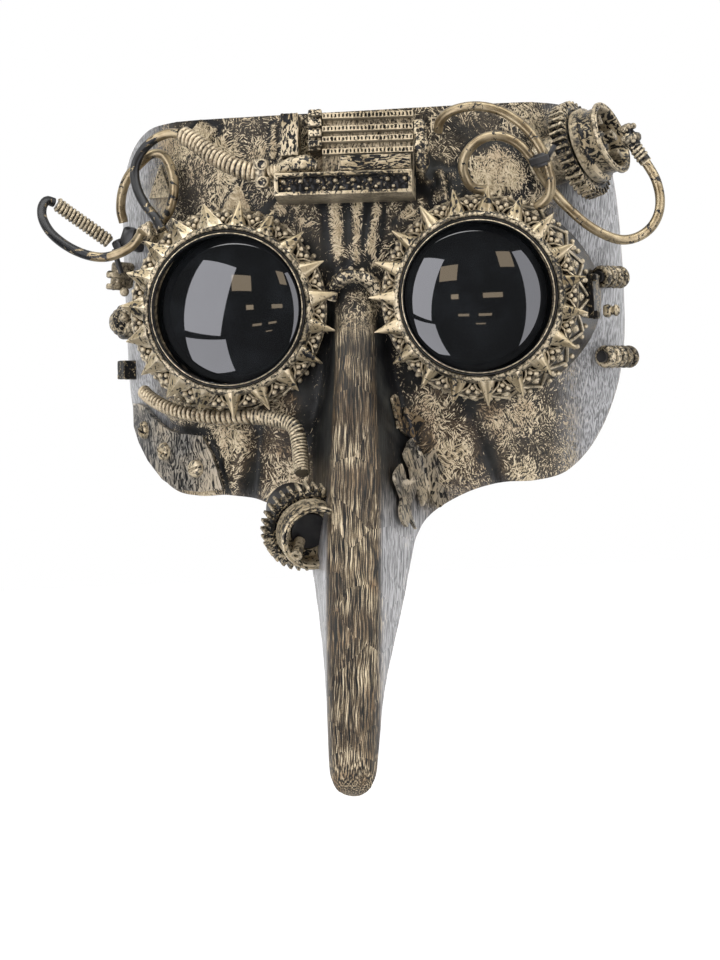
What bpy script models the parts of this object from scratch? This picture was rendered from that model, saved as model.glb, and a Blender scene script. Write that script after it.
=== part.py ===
# Steampunk plague doctor half mask.
#
# The frame: +Z up, the mask looks along -Y, X = 0 is its middle, Z = 0 is the height of the
# lens centres and Y = 0 is the plane of the rear edges at the temples.
# Lengths below are in millimetres; MM turns them into Blender's metres.

import math

import bmesh
import bpy
from mathutils import Matrix, Vector

MM = 0.001
GAP = 0.35                      # clearance between pieces that touch

# mask shell
SHELL_WALL = 2.0
FACE_HALF_WIDTH = 89.5          # the face's curve turns square to the side here
FACE_DEPTH = 68.0
FACE_REAR_Y = 8.0
FACE_SQUARENESS = 2.6
BROW_Z = 25.0                   # above this the forehead leans back
BROW_LEAN = 0.176
BROW_BLEND = 4.0

# beak
RIDGE_TOP_Z = 4.5
RIDGE_TOP_Y = -62.0
RIDGE_SLOPE = 0.5               # forward travel for each millimetre down
RIDGE_CROWN = 1.3
TIP_FACE_Z = -149.0             # the rounded end face starts here
TIP_FACE_HEIGHT = 15.6
TIP_FACE_DEPTH = 24.0
BEAK_EDGE_BLEND = 0.9

# half outline of the mask from the end of the top edge round to the tip: x and z on the
# edge, and the height on the middle line that the same row of the surface starts from
OUTLINE = [
    (62.0, 67.5, 66.5), (72.5, 66.2, 63.0), (79.5, 61.5, 57.5), (84.3, 54.0, 50.5),
    (87.0, 45.0, 43.0), (88.4, 32.0, 32.0), (89.0, 16.0, 18.5), (89.1, 0.0, 6.5),
    (88.7, -14.0, -4.0), (87.2, -26.0, -13.0), (84.6, -36.0, -21.0), (80.5, -46.0, -29.0),
    (75.0, -54.5, -36.5), (67.5, -61.0, -44.0), (58.0, -63.2, -51.0), (48.0, -63.3, -57.5),
    (38.0, -65.2, -63.5), (28.5, -69.2, -69.5), (21.5, -74.0, -75.5), (18.2, -80.5, -82.0),
    (16.9, -88.0, -89.0), (15.2, -98.0, -98.0), (13.2, -109.0, -109.0), (11.2, -120.0, -120.0),
    (9.6, -131.0, -131.0), (8.7, -142.0, -142.0), (8.1, -151.0, -151.0),
    (7.4, -156.5, -158.0), (5.6, -160.6, -163.3)]
RIDGE_COLUMNS = 3
WALL_COLUMNS = 9

# goggles
LENS_X = 43.1
LENS_RADIUS = 25.3
LENS_FLANGE = 26.5
LENS_DOME = 6.4
LENS_WALL = 1.6
GOGGLE_TOP_Y = -65.0
SKIRT_TOP_RADIUS = 33.0
SKIRT_FLARE = 0.143
SKIRT_WALL = 2.2
EYE_HOLE_RADIUS = 24.6
RING_OUTER = 29.4
RING_BORE = 27.2
SPIKE_COUNT = 19
SPIKE_START_DEG = {-1: 100.0, 1: 82.8}
SPIKE_TIP_RADIUS = 37.2
SPIKE_BASE_RADIUS = 3.1
SPIKE_FLATTEN = 0.62

# forehead radiator: a frame lying on the forehead, leaning back with it
RADIATOR_ORIGIN = (6.0, -59.6, 50.0)
RADIATOR_LEAN_DEG = 10.0
RADIATOR_ROLL_DEG = 1.3
RADIATOR_BAR_HEIGHTS = (13.1, 8.6, 4.9, 0.6)

# gear barrels
UPPER_GEAR_CENTRE = (78.0, -39.8, 49.7)
UPPER_AXIS = (0.90, -0.33, 0.28)
UPPER_GEAR_RADIUS = 17.3
LOWER_GEAR_CENTRE = (-17.6, -86.0, -75.0)
LOWER_AXIS = (0.36, -0.86, -0.36)
LOWER_GEAR_RADIUS = 15.2
GEAR_BORE = 6.5
GEAR_WIDTH = 5.6
BARREL_SHAFT = 6.2

# bent pipes and sleeves: radius
PIPE_RADIUS = 1.7
SLEEVE_RADIUS = 3.3
TEMPLE_SLEEVE_RADIUS = 2.6
CORRUGATED_RADIUS = 2.3
RIBBED_RADIUS = 2.9

# routes, hand-laid, in millimetres
FOREHEAD_SLEEVE = [(-32.1, -62.3, 46.4), (-38.5, -61.6, 48.6), (-46.5, -58.2, 53.2),
                   (-53.0, -54.4, 58.4), (-58.4, -51.0, 61.8)]
BLACK_PIPE = [(-59.6, -50.3, 62.4), (-64.0, -49.0, 62.6), (-69.2, -48.2, 60.6),
              (-73.8, -48.0, 56.2), (-75.8, -49.6, 50.2), (-74.6, -52.6, 43.6),
              (-71.4, -56.0, 37.6), (-68.0, -59.6, 33.6)]
TEARDROP_PIPE = [(-67.8, -47.6, 31.4), (-64.6, -48.0, 36.0), (-62.6, -47.6, 43.0),
                 (-63.4, -46.4, 50.0), (-66.2, -45.0, 55.4), (-70.6, -43.6, 56.2),
                 (-75.2, -41.8, 53.2), (-79.4, -40.2, 49.4), (-82.2, -38.6, 44.0),
                 (-83.2, -37.4, 38.0), (-82.6, -36.4, 33.6)]
TEMPLE_PIPE = [(-72.2, -62.7, 28.2), (-75.8, -60.6, 24.2), (-80.4, -59.4, 21.8),
               (-86.0, -58.0, 20.6), (-91.6, -56.4, 21.4), (-97.4, -54.4, 23.8),
               (-102.6, -52.0, 27.2), (-106.8, -49.2, 31.2), (-109.4, -46.4, 35.8),
               (-109.9, -43.6, 39.8), (-108.6, -41.4, 42.2), (-106.4, -39.6, 41.6)]
TEMPLE_SLEEVE = [(-105.4, -38.8, 41.0), (-101.6, -37.2, 37.8), (-96.6, -35.6, 33.8),
                 (-91.4, -34.4, 29.6), (-88.4, -33.6, 27.2)]
BROW_PIPE = [(31.4, -61.6, 57.4), (32.2, -64.0, 60.0), (34.6, -66.4, 62.4),
             (39.0, -68.6, 64.0), (45.6, -69.8, 64.4), (52.4, -70.2, 62.8),
             (58.2, -70.2, 59.4), (63.0, -69.8, 54.8), (66.6, -69.4, 49.0),
             (68.4, -68.8, 43.6), (69.4, -67.8, 38.0), (68.6, -66.2, 33.6),
             (66.2, -64.6, 31.0), (63.8, -63.0, 29.8)]
LOOP_PIPE = [(46.2, -60.4, 36.4), (43.0, -61.8, 37.0), (40.6, -64.2, 39.8),
             (39.6, -66.8, 44.4), (41.6, -69.0, 49.2), (46.0, -70.2, 52.8),
             (51.2, -70.6, 54.0), (56.4, -70.4, 52.6), (60.6, -69.8, 49.4),
             (63.8, -68.2, 44.8), (66.4, -65.0, 40.0), (69.4, -62.4, 35.0),
             (73.6, -61.2, 29.6), (80.4, -60.2, 23.0), (87.0, -58.8, 18.8),
             (92.4, -56.8, 17.2), (97.6, -54.4, 18.2), (102.0, -52.0, 21.4),
             (104.6, -49.8, 26.2), (105.2, -48.2, 31.8), (104.0, -47.2, 37.8),
             (101.4, -47.0, 43.0), (98.8, -47.4, 47.0)]
CORRUGATED_HOSE = [(-78.6, -36.4, -25.6), (-75.4, -41.6, -28.2), (-71.4, -46.8, -30.6),
                   (-66.6, -51.4, -32.8), (-61.0, -55.4, -34.6), (-54.4, -58.6, -36.0),
                   (-47.6, -60.8, -36.8), (-41.0, -62.4, -36.9), (-37.4, -63.2, -36.9)]
RIBBED_HOSE = [(-20.9, -69.2, -43.6), (-20.3, -70.4, -47.8), (-19.8, -72.6, -52.0),
               (-19.4, -74.6, -55.0), (-19.2, -76.2, -57.0)]

# trim on the cheeks
PLATE_THICKNESS = 1.5
CHEEK_PLATE = [(-82.4, -30.0), (-77.8, -31.6), (-73.6, -37.0), (-67.4, -41.0), (-55.8, -43.2),
               (-53.4, -49.4), (-51.0, -55.0), (-49.4, -61.4), (-57.6, -62.0), (-66.6, -60.0),
               (-73.8, -54.0), (-79.2, -45.6), (-82.6, -37.6)]
RIVETS = [(-79.0, -38.2), (-71.0, -47.6), (-58.4, -54.4)]
LEAF_UPPER = [(11.6, -31.0), (15.4, -36.0), (21.4, -38.4), (22.6, -44.4), (19.8, -48.4),
              (15.0, -46.6), (12.6, -41.0)]
LEAF_MAIN = [(12.6, -47.6), (17.6, -49.6), (22.6, -49.6), (27.6, -57.0), (29.2, -64.6),
             (25.6, -69.6), (22.4, -64.0), (20.4, -69.4), (17.6, -63.6), (15.4, -57.0)]
LEAF_LOWER = [(11.6, -54.6), (14.6, -57.6), (17.0, -64.6), (19.4, -70.4), (19.0, -76.6),
              (15.0, -75.4), (12.6, -68.0), (10.8, -60.0)]
TRIANGLE_STUD = [(-73.4, 41.4), (-64.2, 41.0), (-68.6, 52.8)]

# strap lugs inside the temples
LUG_FACE_X = 79.4
LUG_Y = -10.0
LUG_Z = 8.0
LUG_BAR = 2.4

BLACK = (0.022, 0.021, 0.022)
BRASS = (0.36, 0.25, 0.12)
DARK_BRASS = (0.16, 0.115, 0.065)
GUNMETAL = (0.11, 0.105, 0.10)


# ---------------------------------------------------------------- scene and materials

def clear_scene():
    for obj in list(bpy.data.objects):
        bpy.data.objects.remove(obj, do_unlink=True)
    for collection in list(bpy.data.collections):
        bpy.data.collections.remove(collection)


def new_collection(name):
    collection = bpy.data.collections.new(name)
    bpy.context.scene.collection.children.link(collection)
    return collection


def give_material(obj, colour, roughness, metallic):
    material = bpy.data.materials.new(obj.name)
    material.use_nodes = True
    shader = material.node_tree.nodes["Principled BSDF"]
    shader.inputs["Base Color"].default_value = (*colour, 1.0)
    shader.inputs["Roughness"].default_value = roughness
    shader.inputs["Metallic"].default_value = metallic
    obj.data.materials.clear()
    obj.data.materials.append(material)


def link_part(obj, colour, roughness=0.45, metallic=0.8):
    for collection in list(obj.users_collection):
        collection.objects.unlink(obj)
    parts.objects.link(obj)
    give_material(obj, colour, roughness, metallic)
    return obj


def link_cutter(obj):
    for collection in list(obj.users_collection):
        collection.objects.unlink(obj)
    cutters.objects.link(obj)
    obj.hide_render = True
    obj.display_type = "WIRE"
    return obj


def mesh_object(name, mesh):
    obj = bpy.data.objects.new(name, mesh)
    bpy.context.scene.collection.objects.link(obj)
    return obj


def metres(point):
    return Vector(point) * MM


def frame_at(origin, axis, spin_deg=0.0):
    """Matrix whose Z runs along axis, at origin (mm)."""
    turn = Vector((0, 0, 1)).rotation_difference(Vector(axis).normalized()).to_matrix().to_4x4()
    return Matrix.Translation(metres(origin)) @ turn @ Matrix.Rotation(math.radians(spin_deg), 4, "Z")


def boolean(obj, other, operation="DIFFERENCE"):
    cut = obj.modifiers.new(other.name, "BOOLEAN")
    cut.operation = operation
    cut.object = other


# ---------------------------------------------------------------- the face and beak surface

def softplus(value, blend):
    return blend * math.log1p(math.exp(min(value / blend, 60.0)))


def smooth_min(first, second, blend):
    mix = max(0.0, min(1.0, 0.5 + 0.5 * (second - first) / blend))
    return second * (1.0 - mix) + first * mix - blend * mix * (1.0 - mix)


def between(value, low, high):
    return max(0.0, min(1.0, (value - low) / (high - low)))


def face_y(x, z):
    across = 1.0 - min(abs(x) / FACE_HALF_WIDTH, 0.9999) ** FACE_SQUARENESS
    return FACE_REAR_Y - FACE_DEPTH * math.sqrt(across) + BROW_LEAN * softplus(z - BROW_Z, BROW_BLEND)


def ridge_half_width(z):
    return 6.4 + 1.9 * between(-z, 25.0, 75.0) - 1.0 * between(-z, 110.0, 160.0)


def wall_slope(z):
    return 3.3 + 3.9 * between(-z, 90.0, 150.0)


def ridge_y(z):
    travel = min((TIP_FACE_Z - z) / TIP_FACE_HEIGHT, 0.96)
    curl = TIP_FACE_DEPTH * (1.0 - math.sqrt(1.0 - travel * travel)) if travel > 0.0 else 0.0
    return RIDGE_TOP_Y - RIDGE_SLOPE * (RIDGE_TOP_Z - z) + curl


def beak_y(x, z):
    half = ridge_half_width(z)
    crown = RIDGE_CROWN * min(abs(x) / half, 1.0) ** 2
    return ridge_y(z) + crown + wall_slope(z) * softplus(abs(x) - half, BEAK_EDGE_BLEND)


def front_y(x, z):
    blend = 5.0 + 6.0 * between(-z, 10.0, 50.0)
    return smooth_min(face_y(x, z), beak_y(x, z), blend)


def row_points(edge_x, edge_z, middle_z):
    """Points of one row of the half surface, from the middle line out to the edge."""
    def point(x):
        along = x / edge_x
        z = middle_z + (edge_z - middle_z) * along * along
        return Vector((x, front_y(x, z), z))

    ridge_end = min(ridge_half_width(middle_z) + 0.7, 0.8 * edge_x)
    points = [point(ridge_end * i / RIDGE_COLUMNS) for i in range(RIDGE_COLUMNS + 1)]
    fine = [point(ridge_end + (edge_x - ridge_end) * i / 240) for i in range(241)]
    lengths = [0.0]
    for before, after in zip(fine, fine[1:]):
        lengths.append(lengths[-1] + (after - before).length)
    spot = 0
    for i in range(1, WALL_COLUMNS + 1):
        while lengths[spot] < lengths[-1] * i / WALL_COLUMNS - 1e-9:
            spot += 1
        points.append(fine[spot])
    return points


def half_surface():
    return [row_points(*station) for station in OUTLINE]


def half_mesh(name):
    """The half surface at x >= 0 as triangles facing forward."""
    rows = half_surface()
    columns = len(rows[0])
    faces = []
    for r in range(len(rows) - 1):
        for c in range(columns - 1):
            corner = r * columns + c
            faces.append((corner, corner + columns, corner + columns + 1))
            faces.append((corner, corner + columns + 1, corner + 1))
    mesh = bpy.data.meshes.new(name)
    mesh.from_pydata([p * MM for row in rows for p in row], [], faces)
    return mesh


def mask_shell():
    shell = mesh_object("mask_shell", half_mesh("mask_shell"))
    mirror = shell.modifiers.new("mirror", "MIRROR")
    mirror.use_clip = True
    mirror.merge_threshold = 0.0001
    wall = shell.modifiers.new("wall", "SOLIDIFY")
    wall.thickness = SHELL_WALL * MM
    wall.offset = -1.0
    for side in (-1, 1):
        bpy.ops.mesh.primitive_cylinder_add(vertices=32, radius=EYE_HOLE_RADIUS * MM, depth=70 * MM,
                                            location=metres((side * LENS_X, -50.0, 0.0)),
                                            rotation=(math.radians(90), 0, 0))
        hole = bpy.context.object
        hole.name = "eye_hole_cutter_" + side_name(side)
        link_cutter(hole)
        boolean(shell, hole)
    return link_part(shell, BRASS, 0.42, 0.6)


def shell_volume(name, offset):
    """Closed volume behind the front surface moved out by offset, for seating pieces on it."""
    mesh = half_mesh(name)
    body = bmesh.new()
    body.from_mesh(mesh)
    bmesh.ops.mirror(body, geom=body.verts[:] + body.edges[:] + body.faces[:], axis="X", merge_dist=0.00001)
    bmesh.ops.recalc_face_normals(body, faces=body.faces)
    body.normal_update()
    outward = 1.0 if body.faces[0].normal.y < 0.0 else -1.0
    for vert, normal in [(v, v.normal.copy()) for v in body.verts]:
        vert.co += normal * outward * offset * MM
    rim = [edge for edge in body.edges if edge.is_boundary]
    walls = bmesh.ops.extrude_edge_only(body, edges=rim)["geom"]
    for vert in [item for item in walls if isinstance(item, bmesh.types.BMVert)]:
        vert.co.y = 45.0 * MM
    bmesh.ops.contextual_create(body, geom=[edge for edge in body.edges if edge.is_boundary])
    bmesh.ops.recalc_face_normals(body, faces=body.faces)
    body.to_mesh(mesh)
    body.free()
    return link_cutter(mesh_object(name, mesh))


# ---------------------------------------------------------------- makers

def side_name(side):
    return "left" if side < 0 else "right"


def turned(name, profile, origin, axis, steps):
    """Turn a closed or open profile of (radius, height) in mm round an axis."""
    mesh = bpy.data.meshes.new(name)
    count = len(profile)
    on_axis = profile[0][0] == 0.0
    edges = [(i, i + 1) for i in range(count - 1)] + ([] if on_axis else [(count - 1, 0)])
    mesh.from_pydata([(r * MM, 0.0, h * MM) for r, h in profile], edges, [])
    obj = mesh_object(name, mesh)
    screw = obj.modifiers.new("turn", "SCREW")
    screw.steps = steps
    screw.render_steps = steps
    screw.use_merge_vertices = True
    screw.merge_threshold = 0.00005
    screw.use_smooth_shade = True
    obj.matrix_world = frame_at(origin, axis)
    return obj


def prism(name, outline, depth):
    """Flat outline in mm, extruded by depth about its own plane, as a mesh object."""
    curve = bpy.data.curves.new(name, "CURVE")
    curve.dimensions = "2D"
    curve.fill_mode = "BOTH"
    curve.extrude = 0.5 * depth * MM
    spline = curve.splines.new("POLY")
    spline.points.add(len(outline) - 1)
    for place, (x, y) in zip(spline.points, outline):
        place.co = (x * MM, y * MM, 0.0, 1.0)
    spline.use_cyclic_u = True
    return as_mesh(mesh_object_from_curve(name, curve))


def mesh_object_from_curve(name, curve):
    obj = bpy.data.objects.new(name, curve)
    bpy.context.scene.collection.objects.link(obj)
    return obj


def as_mesh(curve_object):
    """Swap a curve object for a welded mesh object in the same place."""
    name = curve_object.name
    graph = bpy.context.evaluated_depsgraph_get()
    mesh = bpy.data.meshes.new_from_object(curve_object.evaluated_get(graph))
    body = bmesh.new()
    body.from_mesh(mesh)
    bmesh.ops.remove_doubles(body, verts=body.verts, dist=0.000005)
    bmesh.ops.recalc_face_normals(body, faces=body.faces)
    body.to_mesh(mesh)
    body.free()
    place = curve_object.matrix_world.copy()
    bpy.data.objects.remove(curve_object, do_unlink=True)
    obj = mesh_object(name, mesh)
    obj.matrix_world = place
    return obj


def smooth_route(points, step):
    """Points about one step apart on a smooth curve through the given points."""
    ends = [Vector(points[0]) * 2 - Vector(points[1])] + [Vector(p) for p in points]
    ends.append(Vector(points[-1]) * 2 - Vector(points[-2]))
    fine = []
    for a, b, c, d in zip(ends, ends[1:], ends[2:], ends[3:]):
        for i in range(12):
            t = i / 12
            fine.append(0.5 * (2 * b + (c - a) * t + (2 * a - 5 * b + 4 * c - d) * t * t
                               + (3 * b - a - 3 * c + d) * t ** 3))
    fine.append(Vector(points[-1]))
    total = sum((q - p).length for p, q in zip(fine, fine[1:]))
    count = max(2, round(total / step))
    route = [fine[0]]
    walked = 0.0
    for before, after in zip(fine, fine[1:]):
        length = (after - before).length
        while len(route) < count and walked + length >= total * len(route) / count:
            share = (total * len(route) / count - walked) / length
            route.append(before.lerp(after, share))
        walked += length
    route.append(fine[-1])
    return route


def tube(name, points, radius, step, resolution=2):
    """A bent pipe along a smooth route through points, all in mm."""
    curve = bpy.data.curves.new(name, "CURVE")
    curve.dimensions = "3D"
    curve.bevel_depth = radius * MM
    curve.bevel_resolution = resolution
    curve.use_fill_caps = True
    route = smooth_route(points, step)
    spline = curve.splines.new("POLY")
    spline.points.add(len(route) - 1)
    for place, point in zip(spline.points, route):
        place.co = (*(point * MM), 1.0)
    return mesh_object_from_curve(name, curve)


def block(name, low, high, place, bevel=0.4):
    """A box between two corners in mm, in the frame place, with slightly rounded edges."""
    low, high = Vector(low), Vector(high)
    mesh = bpy.data.meshes.new(name)
    body = bmesh.new()
    bmesh.ops.create_cube(body, size=1.0)
    size = (high - low) * MM
    bmesh.ops.scale(body, vec=size, verts=body.verts)
    bmesh.ops.translate(body, vec=(low + high) * 0.5 * MM, verts=body.verts)
    body.to_mesh(mesh)
    body.free()
    obj = mesh_object(name, mesh)
    obj.matrix_world = place
    if bevel:
        edge = obj.modifiers.new("edge", "BEVEL")
        edge.width = bevel * MM
        edge.segments = 1
    return obj


def gear_ring(name, tip, root, teeth, width, place):
    """A toothed ring: every second side face of a cylinder drawn out into a tapered tooth."""
    body = bmesh.new()
    bmesh.ops.create_cone(body, cap_ends=True, segments=2 * teeth, radius1=root * MM,
                          radius2=root * MM, depth=width * MM)
    sides = [face for face in body.faces if abs(face.normal.z) < 0.5]
    sides.sort(key=lambda face: math.atan2(face.normal.y, face.normal.x))
    drawn = bmesh.ops.extrude_discrete_faces(body, faces=sides[::2])["faces"]
    for face in drawn:
        middle = face.calc_center_median()
        outward = face.normal.copy()
        for vert in face.verts:
            vert.co = middle + (vert.co - middle) * 0.86 + outward * (tip - root) * MM
    mesh = bpy.data.meshes.new(name)
    body.to_mesh(mesh)
    body.free()
    gear = mesh_object(name, mesh)
    gear.matrix_world = place
    bpy.ops.mesh.primitive_cylinder_add(vertices=20, radius=GEAR_BORE * MM, depth=3 * width * MM)
    bore = bpy.context.object
    bore.name = name + "_bore_cutter"
    bore.matrix_world = place
    link_cutter(bore)
    boolean(gear, bore)
    return gear


# ---------------------------------------------------------------- goggles

def goggle_seat(side):
    """The skirt's own cone a little larger, for seating fittings against a goggle."""
    depth = 50.0
    bpy.ops.mesh.primitive_cone_add(vertices=48, radius1=(SKIRT_TOP_RADIUS + SKIRT_FLARE * depth + 0.5) * MM,
                                    radius2=(SKIRT_TOP_RADIUS + 0.5) * MM, depth=depth * MM,
                                    location=metres((side * LENS_X, GOGGLE_TOP_Y + 0.5 * depth, 0.0)),
                                    rotation=(math.radians(90), 0, 0))
    seat = bpy.context.object
    seat.name = "goggle_seat_cutter_" + side_name(side)
    return link_cutter(seat)


def goggle(side):
    tag = side_name(side)
    centre = (side * LENS_X, GOGGLE_TOP_Y, 0.0)
    forward = (0.0, -1.0, 0.0)

    depth = 50.0
    foot = SKIRT_TOP_RADIUS + SKIRT_FLARE * depth
    skirt = turned("goggle_skirt_" + tag,
                   [(24.9, 0.0), (SKIRT_TOP_RADIUS, 0.0), (foot, -depth), (foot - SKIRT_WALL, -depth),
                    (SKIRT_TOP_RADIUS - SKIRT_WALL, -1.8), (24.9, -1.8)],
                   centre, forward, 40)
    boolean(skirt, shell_seat)
    link_part(skirt, BRASS, 0.42, 0.7)

    ring = turned("spiked_ring_" + tag,
                  [(RING_BORE, 4.9), (28.2, 5.4), (RING_OUTER, 4.4), (RING_OUTER, GAP), (RING_BORE, GAP)],
                  centre, forward, 36)
    spikes = spike_cutter("spikes_" + tag, centre, SPIKE_START_DEG[side])
    boolean(ring, spikes, "UNION")
    link_part(ring, BRASS, 0.38, 0.8)

    lens_top = 1.9
    dome = [(LENS_RADIUS * math.sin(a) / math.sin(math.radians(60)),
             lens_top + LENS_DOME * (math.cos(a) - 0.5) / 0.5)
            for a in [math.radians(15 * i) for i in range(5)]]
    hollow = [(r * 0.955, h - LENS_WALL) for r, h in reversed(dome)]
    lens = turned("lens_" + tag,
                  dome + [(LENS_FLANGE, lens_top), (LENS_FLANGE, GAP), (hollow[0][0], GAP)] + hollow[1:],
                  centre, forward, 28)
    link_part(lens, (0.012, 0.013, 0.015), 0.06, 0.0)

    seat = lens_top + GAP
    retaining = turned("retaining_ring_" + tag,
                       [(LENS_RADIUS + 0.35, 5.2), (26.3, 5.8), (RING_BORE - GAP, 5.2),
                        (RING_BORE - GAP, seat), (LENS_RADIUS + 0.35, seat)],
                       centre, forward, 28)
    link_part(retaining, BRASS, 0.3, 0.9)


def spike_cutter(name, centre, start_deg):
    """All the ring's spikes as one cutter: cones lying in the ring's plane, points outward."""
    body = bmesh.new()
    root = RING_OUTER - 1.4
    for i in range(SPIKE_COUNT):
        made = bmesh.ops.create_cone(body, cap_ends=True, segments=6, radius1=SPIKE_BASE_RADIUS * MM,
                                     radius2=0.12 * MM, depth=(SPIKE_TIP_RADIUS - root) * MM)
        place = (Matrix.Rotation(math.radians(start_deg + 360.0 * i / SPIKE_COUNT), 4, "Z")
                 @ Matrix.Translation((0.5 * (SPIKE_TIP_RADIUS + root) * MM, 0, 2.5 * MM))
                 @ Matrix.Rotation(math.radians(90), 4, "Y")
                 @ Matrix.Diagonal((SPIKE_FLATTEN, 1.0, 1.0, 1.0)))
        bmesh.ops.transform(body, matrix=place, verts=made["verts"])
    mesh = bpy.data.meshes.new(name)
    body.to_mesh(mesh)
    body.free()
    cutter = mesh_object(name, mesh)
    cutter.matrix_world = Matrix.Translation(metres(centre)) @ Matrix.Rotation(math.radians(90), 4, "X")
    return link_cutter(cutter)


def nose_bridge():
    arch = [(-8.6, -62.2, 1.8), (-7.2, -63.0, 5.6), (-3.8, -65.4, 8.4), (0.0, -66.4, 9.2),
            (3.8, -65.4, 8.4), (7.2, -63.0, 5.6), (8.6, -62.2, 1.8)]
    bridge = as_mesh(tube("nose_bridge", arch, 2.5, 3.0))
    boolean(bridge, shell_seat)
    for side in (-1, 1):
        bpy.ops.mesh.primitive_cylinder_add(vertices=40, radius=(SKIRT_TOP_RADIUS + 1.4) * MM,
                                            depth=60 * MM,
                                            location=metres((side * LENS_X, -35.4, 0.0)),
                                            rotation=(math.radians(90), 0, 0))
        clear = bpy.context.object
        clear.name = "bridge_cutter_" + side_name(side)
        link_cutter(clear)
        boolean(bridge, clear)
    link_part(bridge, BRASS, 0.45, 0.7)


# ---------------------------------------------------------------- forehead radiator

def radiator():
    place = (Matrix.Translation(metres(RADIATOR_ORIGIN))
             @ Matrix.Rotation(math.radians(RADIATOR_ROLL_DEG), 4, "Y")
             @ Matrix.Rotation(math.radians(-RADIATOR_LEAN_DEG), 4, "X"))
    back = block("radiator_block", (-14.6, -3.4, -6.6), (16.2, 4.0, 14.6), place)
    crossbar = block("crossbar_cutter", (-8.0, -7.4, -6.4), (16.0, -3.0, -1.0), place, 0.0)
    link_cutter(crossbar)
    boolean(back, crossbar, "UNION")
    boolean(back, shell_seat)
    link_part(back, DARK_BRASS, 0.5, 0.7)
    for number, height in enumerate(RADIATOR_BAR_HEIGHTS, 1):
        bar = block("radiator_bar_%d" % number, (-14.4, -7.2, height - 1.05),
                    (17.0, -3.4 - GAP, height + 1.05), place)
        link_part(bar, BRASS, 0.4, 0.85)
    comb(place)
    bead_tray(place)
    plate = block("radiator_side_plate", (-29.0, -4.6, 0.4), (-22.8, 4.0, 15.4), place, 0.6)
    boolean(plate, shell_seat)
    link_part(plate, BRASS, 0.5, 0.6)
    elbow = tube("radiator_inlet_elbow",
                 [(-26.2, -63.3, 45.9), (-24.2, -64.2, 46.9), (-21.0, -65.9, 48.0),
                  (-17.0, -67.4, 48.3), (-13.5, -68.2, 48.3), (-9.8, -68.0, 47.7)], 2.4, 3.2)
    link_part(elbow, BRASS, 0.42, 0.8)
    nut = block("inlet_clamp_nut", (-1.6, -4.6, -4.8), (1.6, 4.6, 4.8),
                frame_at((-29.2, -62.6, 46.0), (0.05, 0.0, 1.0), -12.0), 0.7)
    boolean(nut, shell_seat)
    link_part(nut, DARK_BRASS, 0.45, 0.8)
    outlet = block("radiator_outlet", (17.4, -6.8, -6.6), (22.8, 4.0, 11.6), place, 0.9)
    boolean(outlet, shell_seat)
    link_part(outlet, BRASS, 0.45, 0.75)


def comb(place):
    """A spine with four proud blocks, one solid."""
    spine = block("radiator_comb", (-19.2, -5.4, 1.6), (-14.9, 4.0, 15.8), place, 0.0)
    for step in range(4):
        height = 2.2 + step * 3.6
        proud = block("comb_cutter_%d" % step, (-20.0, -8.4, height), (-15.3, -4.6, height + 2.4), place, 0.0)
        link_cutter(proud)
        boolean(spine, proud, "UNION")
    boolean(spine, shell_seat)
    link_part(spine, BRASS, 0.4, 0.8)


def bead_tray(place):
    tray = block("bead_tray", (-30.4, -11.2, -15.4), (16.8, 4.0, -7.4), place, 0.5)
    recess = block("tray_recess_cutter", (-29.0, -13.0, -14.1), (15.4, -9.6, -8.7), place, 0.0)
    link_cutter(recess)
    boolean(tray, recess)
    boolean(tray, shell_seat)
    link_part(tray, BRASS, 0.4, 0.8)


# ---------------------------------------------------------------- gear barrels

def barrel(tag, centre, axis, tip, teeth, cup_profile, post_length, shaft_length):
    """A post through a gear ring, with a cup on the post's end."""
    half = 0.5 * GEAR_WIDTH
    base = half + GAP
    let_in = tag == "lower"     # the lower barrel is sunk into the wall of the beak
    post = turned(tag + "_barrel_post",
                  [(0.0, base + shaft_length), (BARREL_SHAFT, base + shaft_length), (BARREL_SHAFT, -base),
                   (BARREL_SHAFT + 2.4, -base), (BARREL_SHAFT + 2.4, -base - post_length),
                   (0.0, -base - post_length)],
                  centre, axis, 20)
    boolean(post, shell_seat)
    link_part(post, GUNMETAL, 0.4, 0.8)
    gear = gear_ring(tag + "_gear", tip, tip - 2.2, teeth, GEAR_WIDTH, frame_at(centre, axis))
    if let_in:
        boolean(gear, shell_seat)
    link_part(gear, BRASS, 0.35, 0.85)
    cup = turned(tag + "_cup", cup_profile, centre, axis, 24)
    if let_in:
        boolean(cup, shell_seat)
    link_part(cup, BRASS, 0.4, 0.8)


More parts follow.
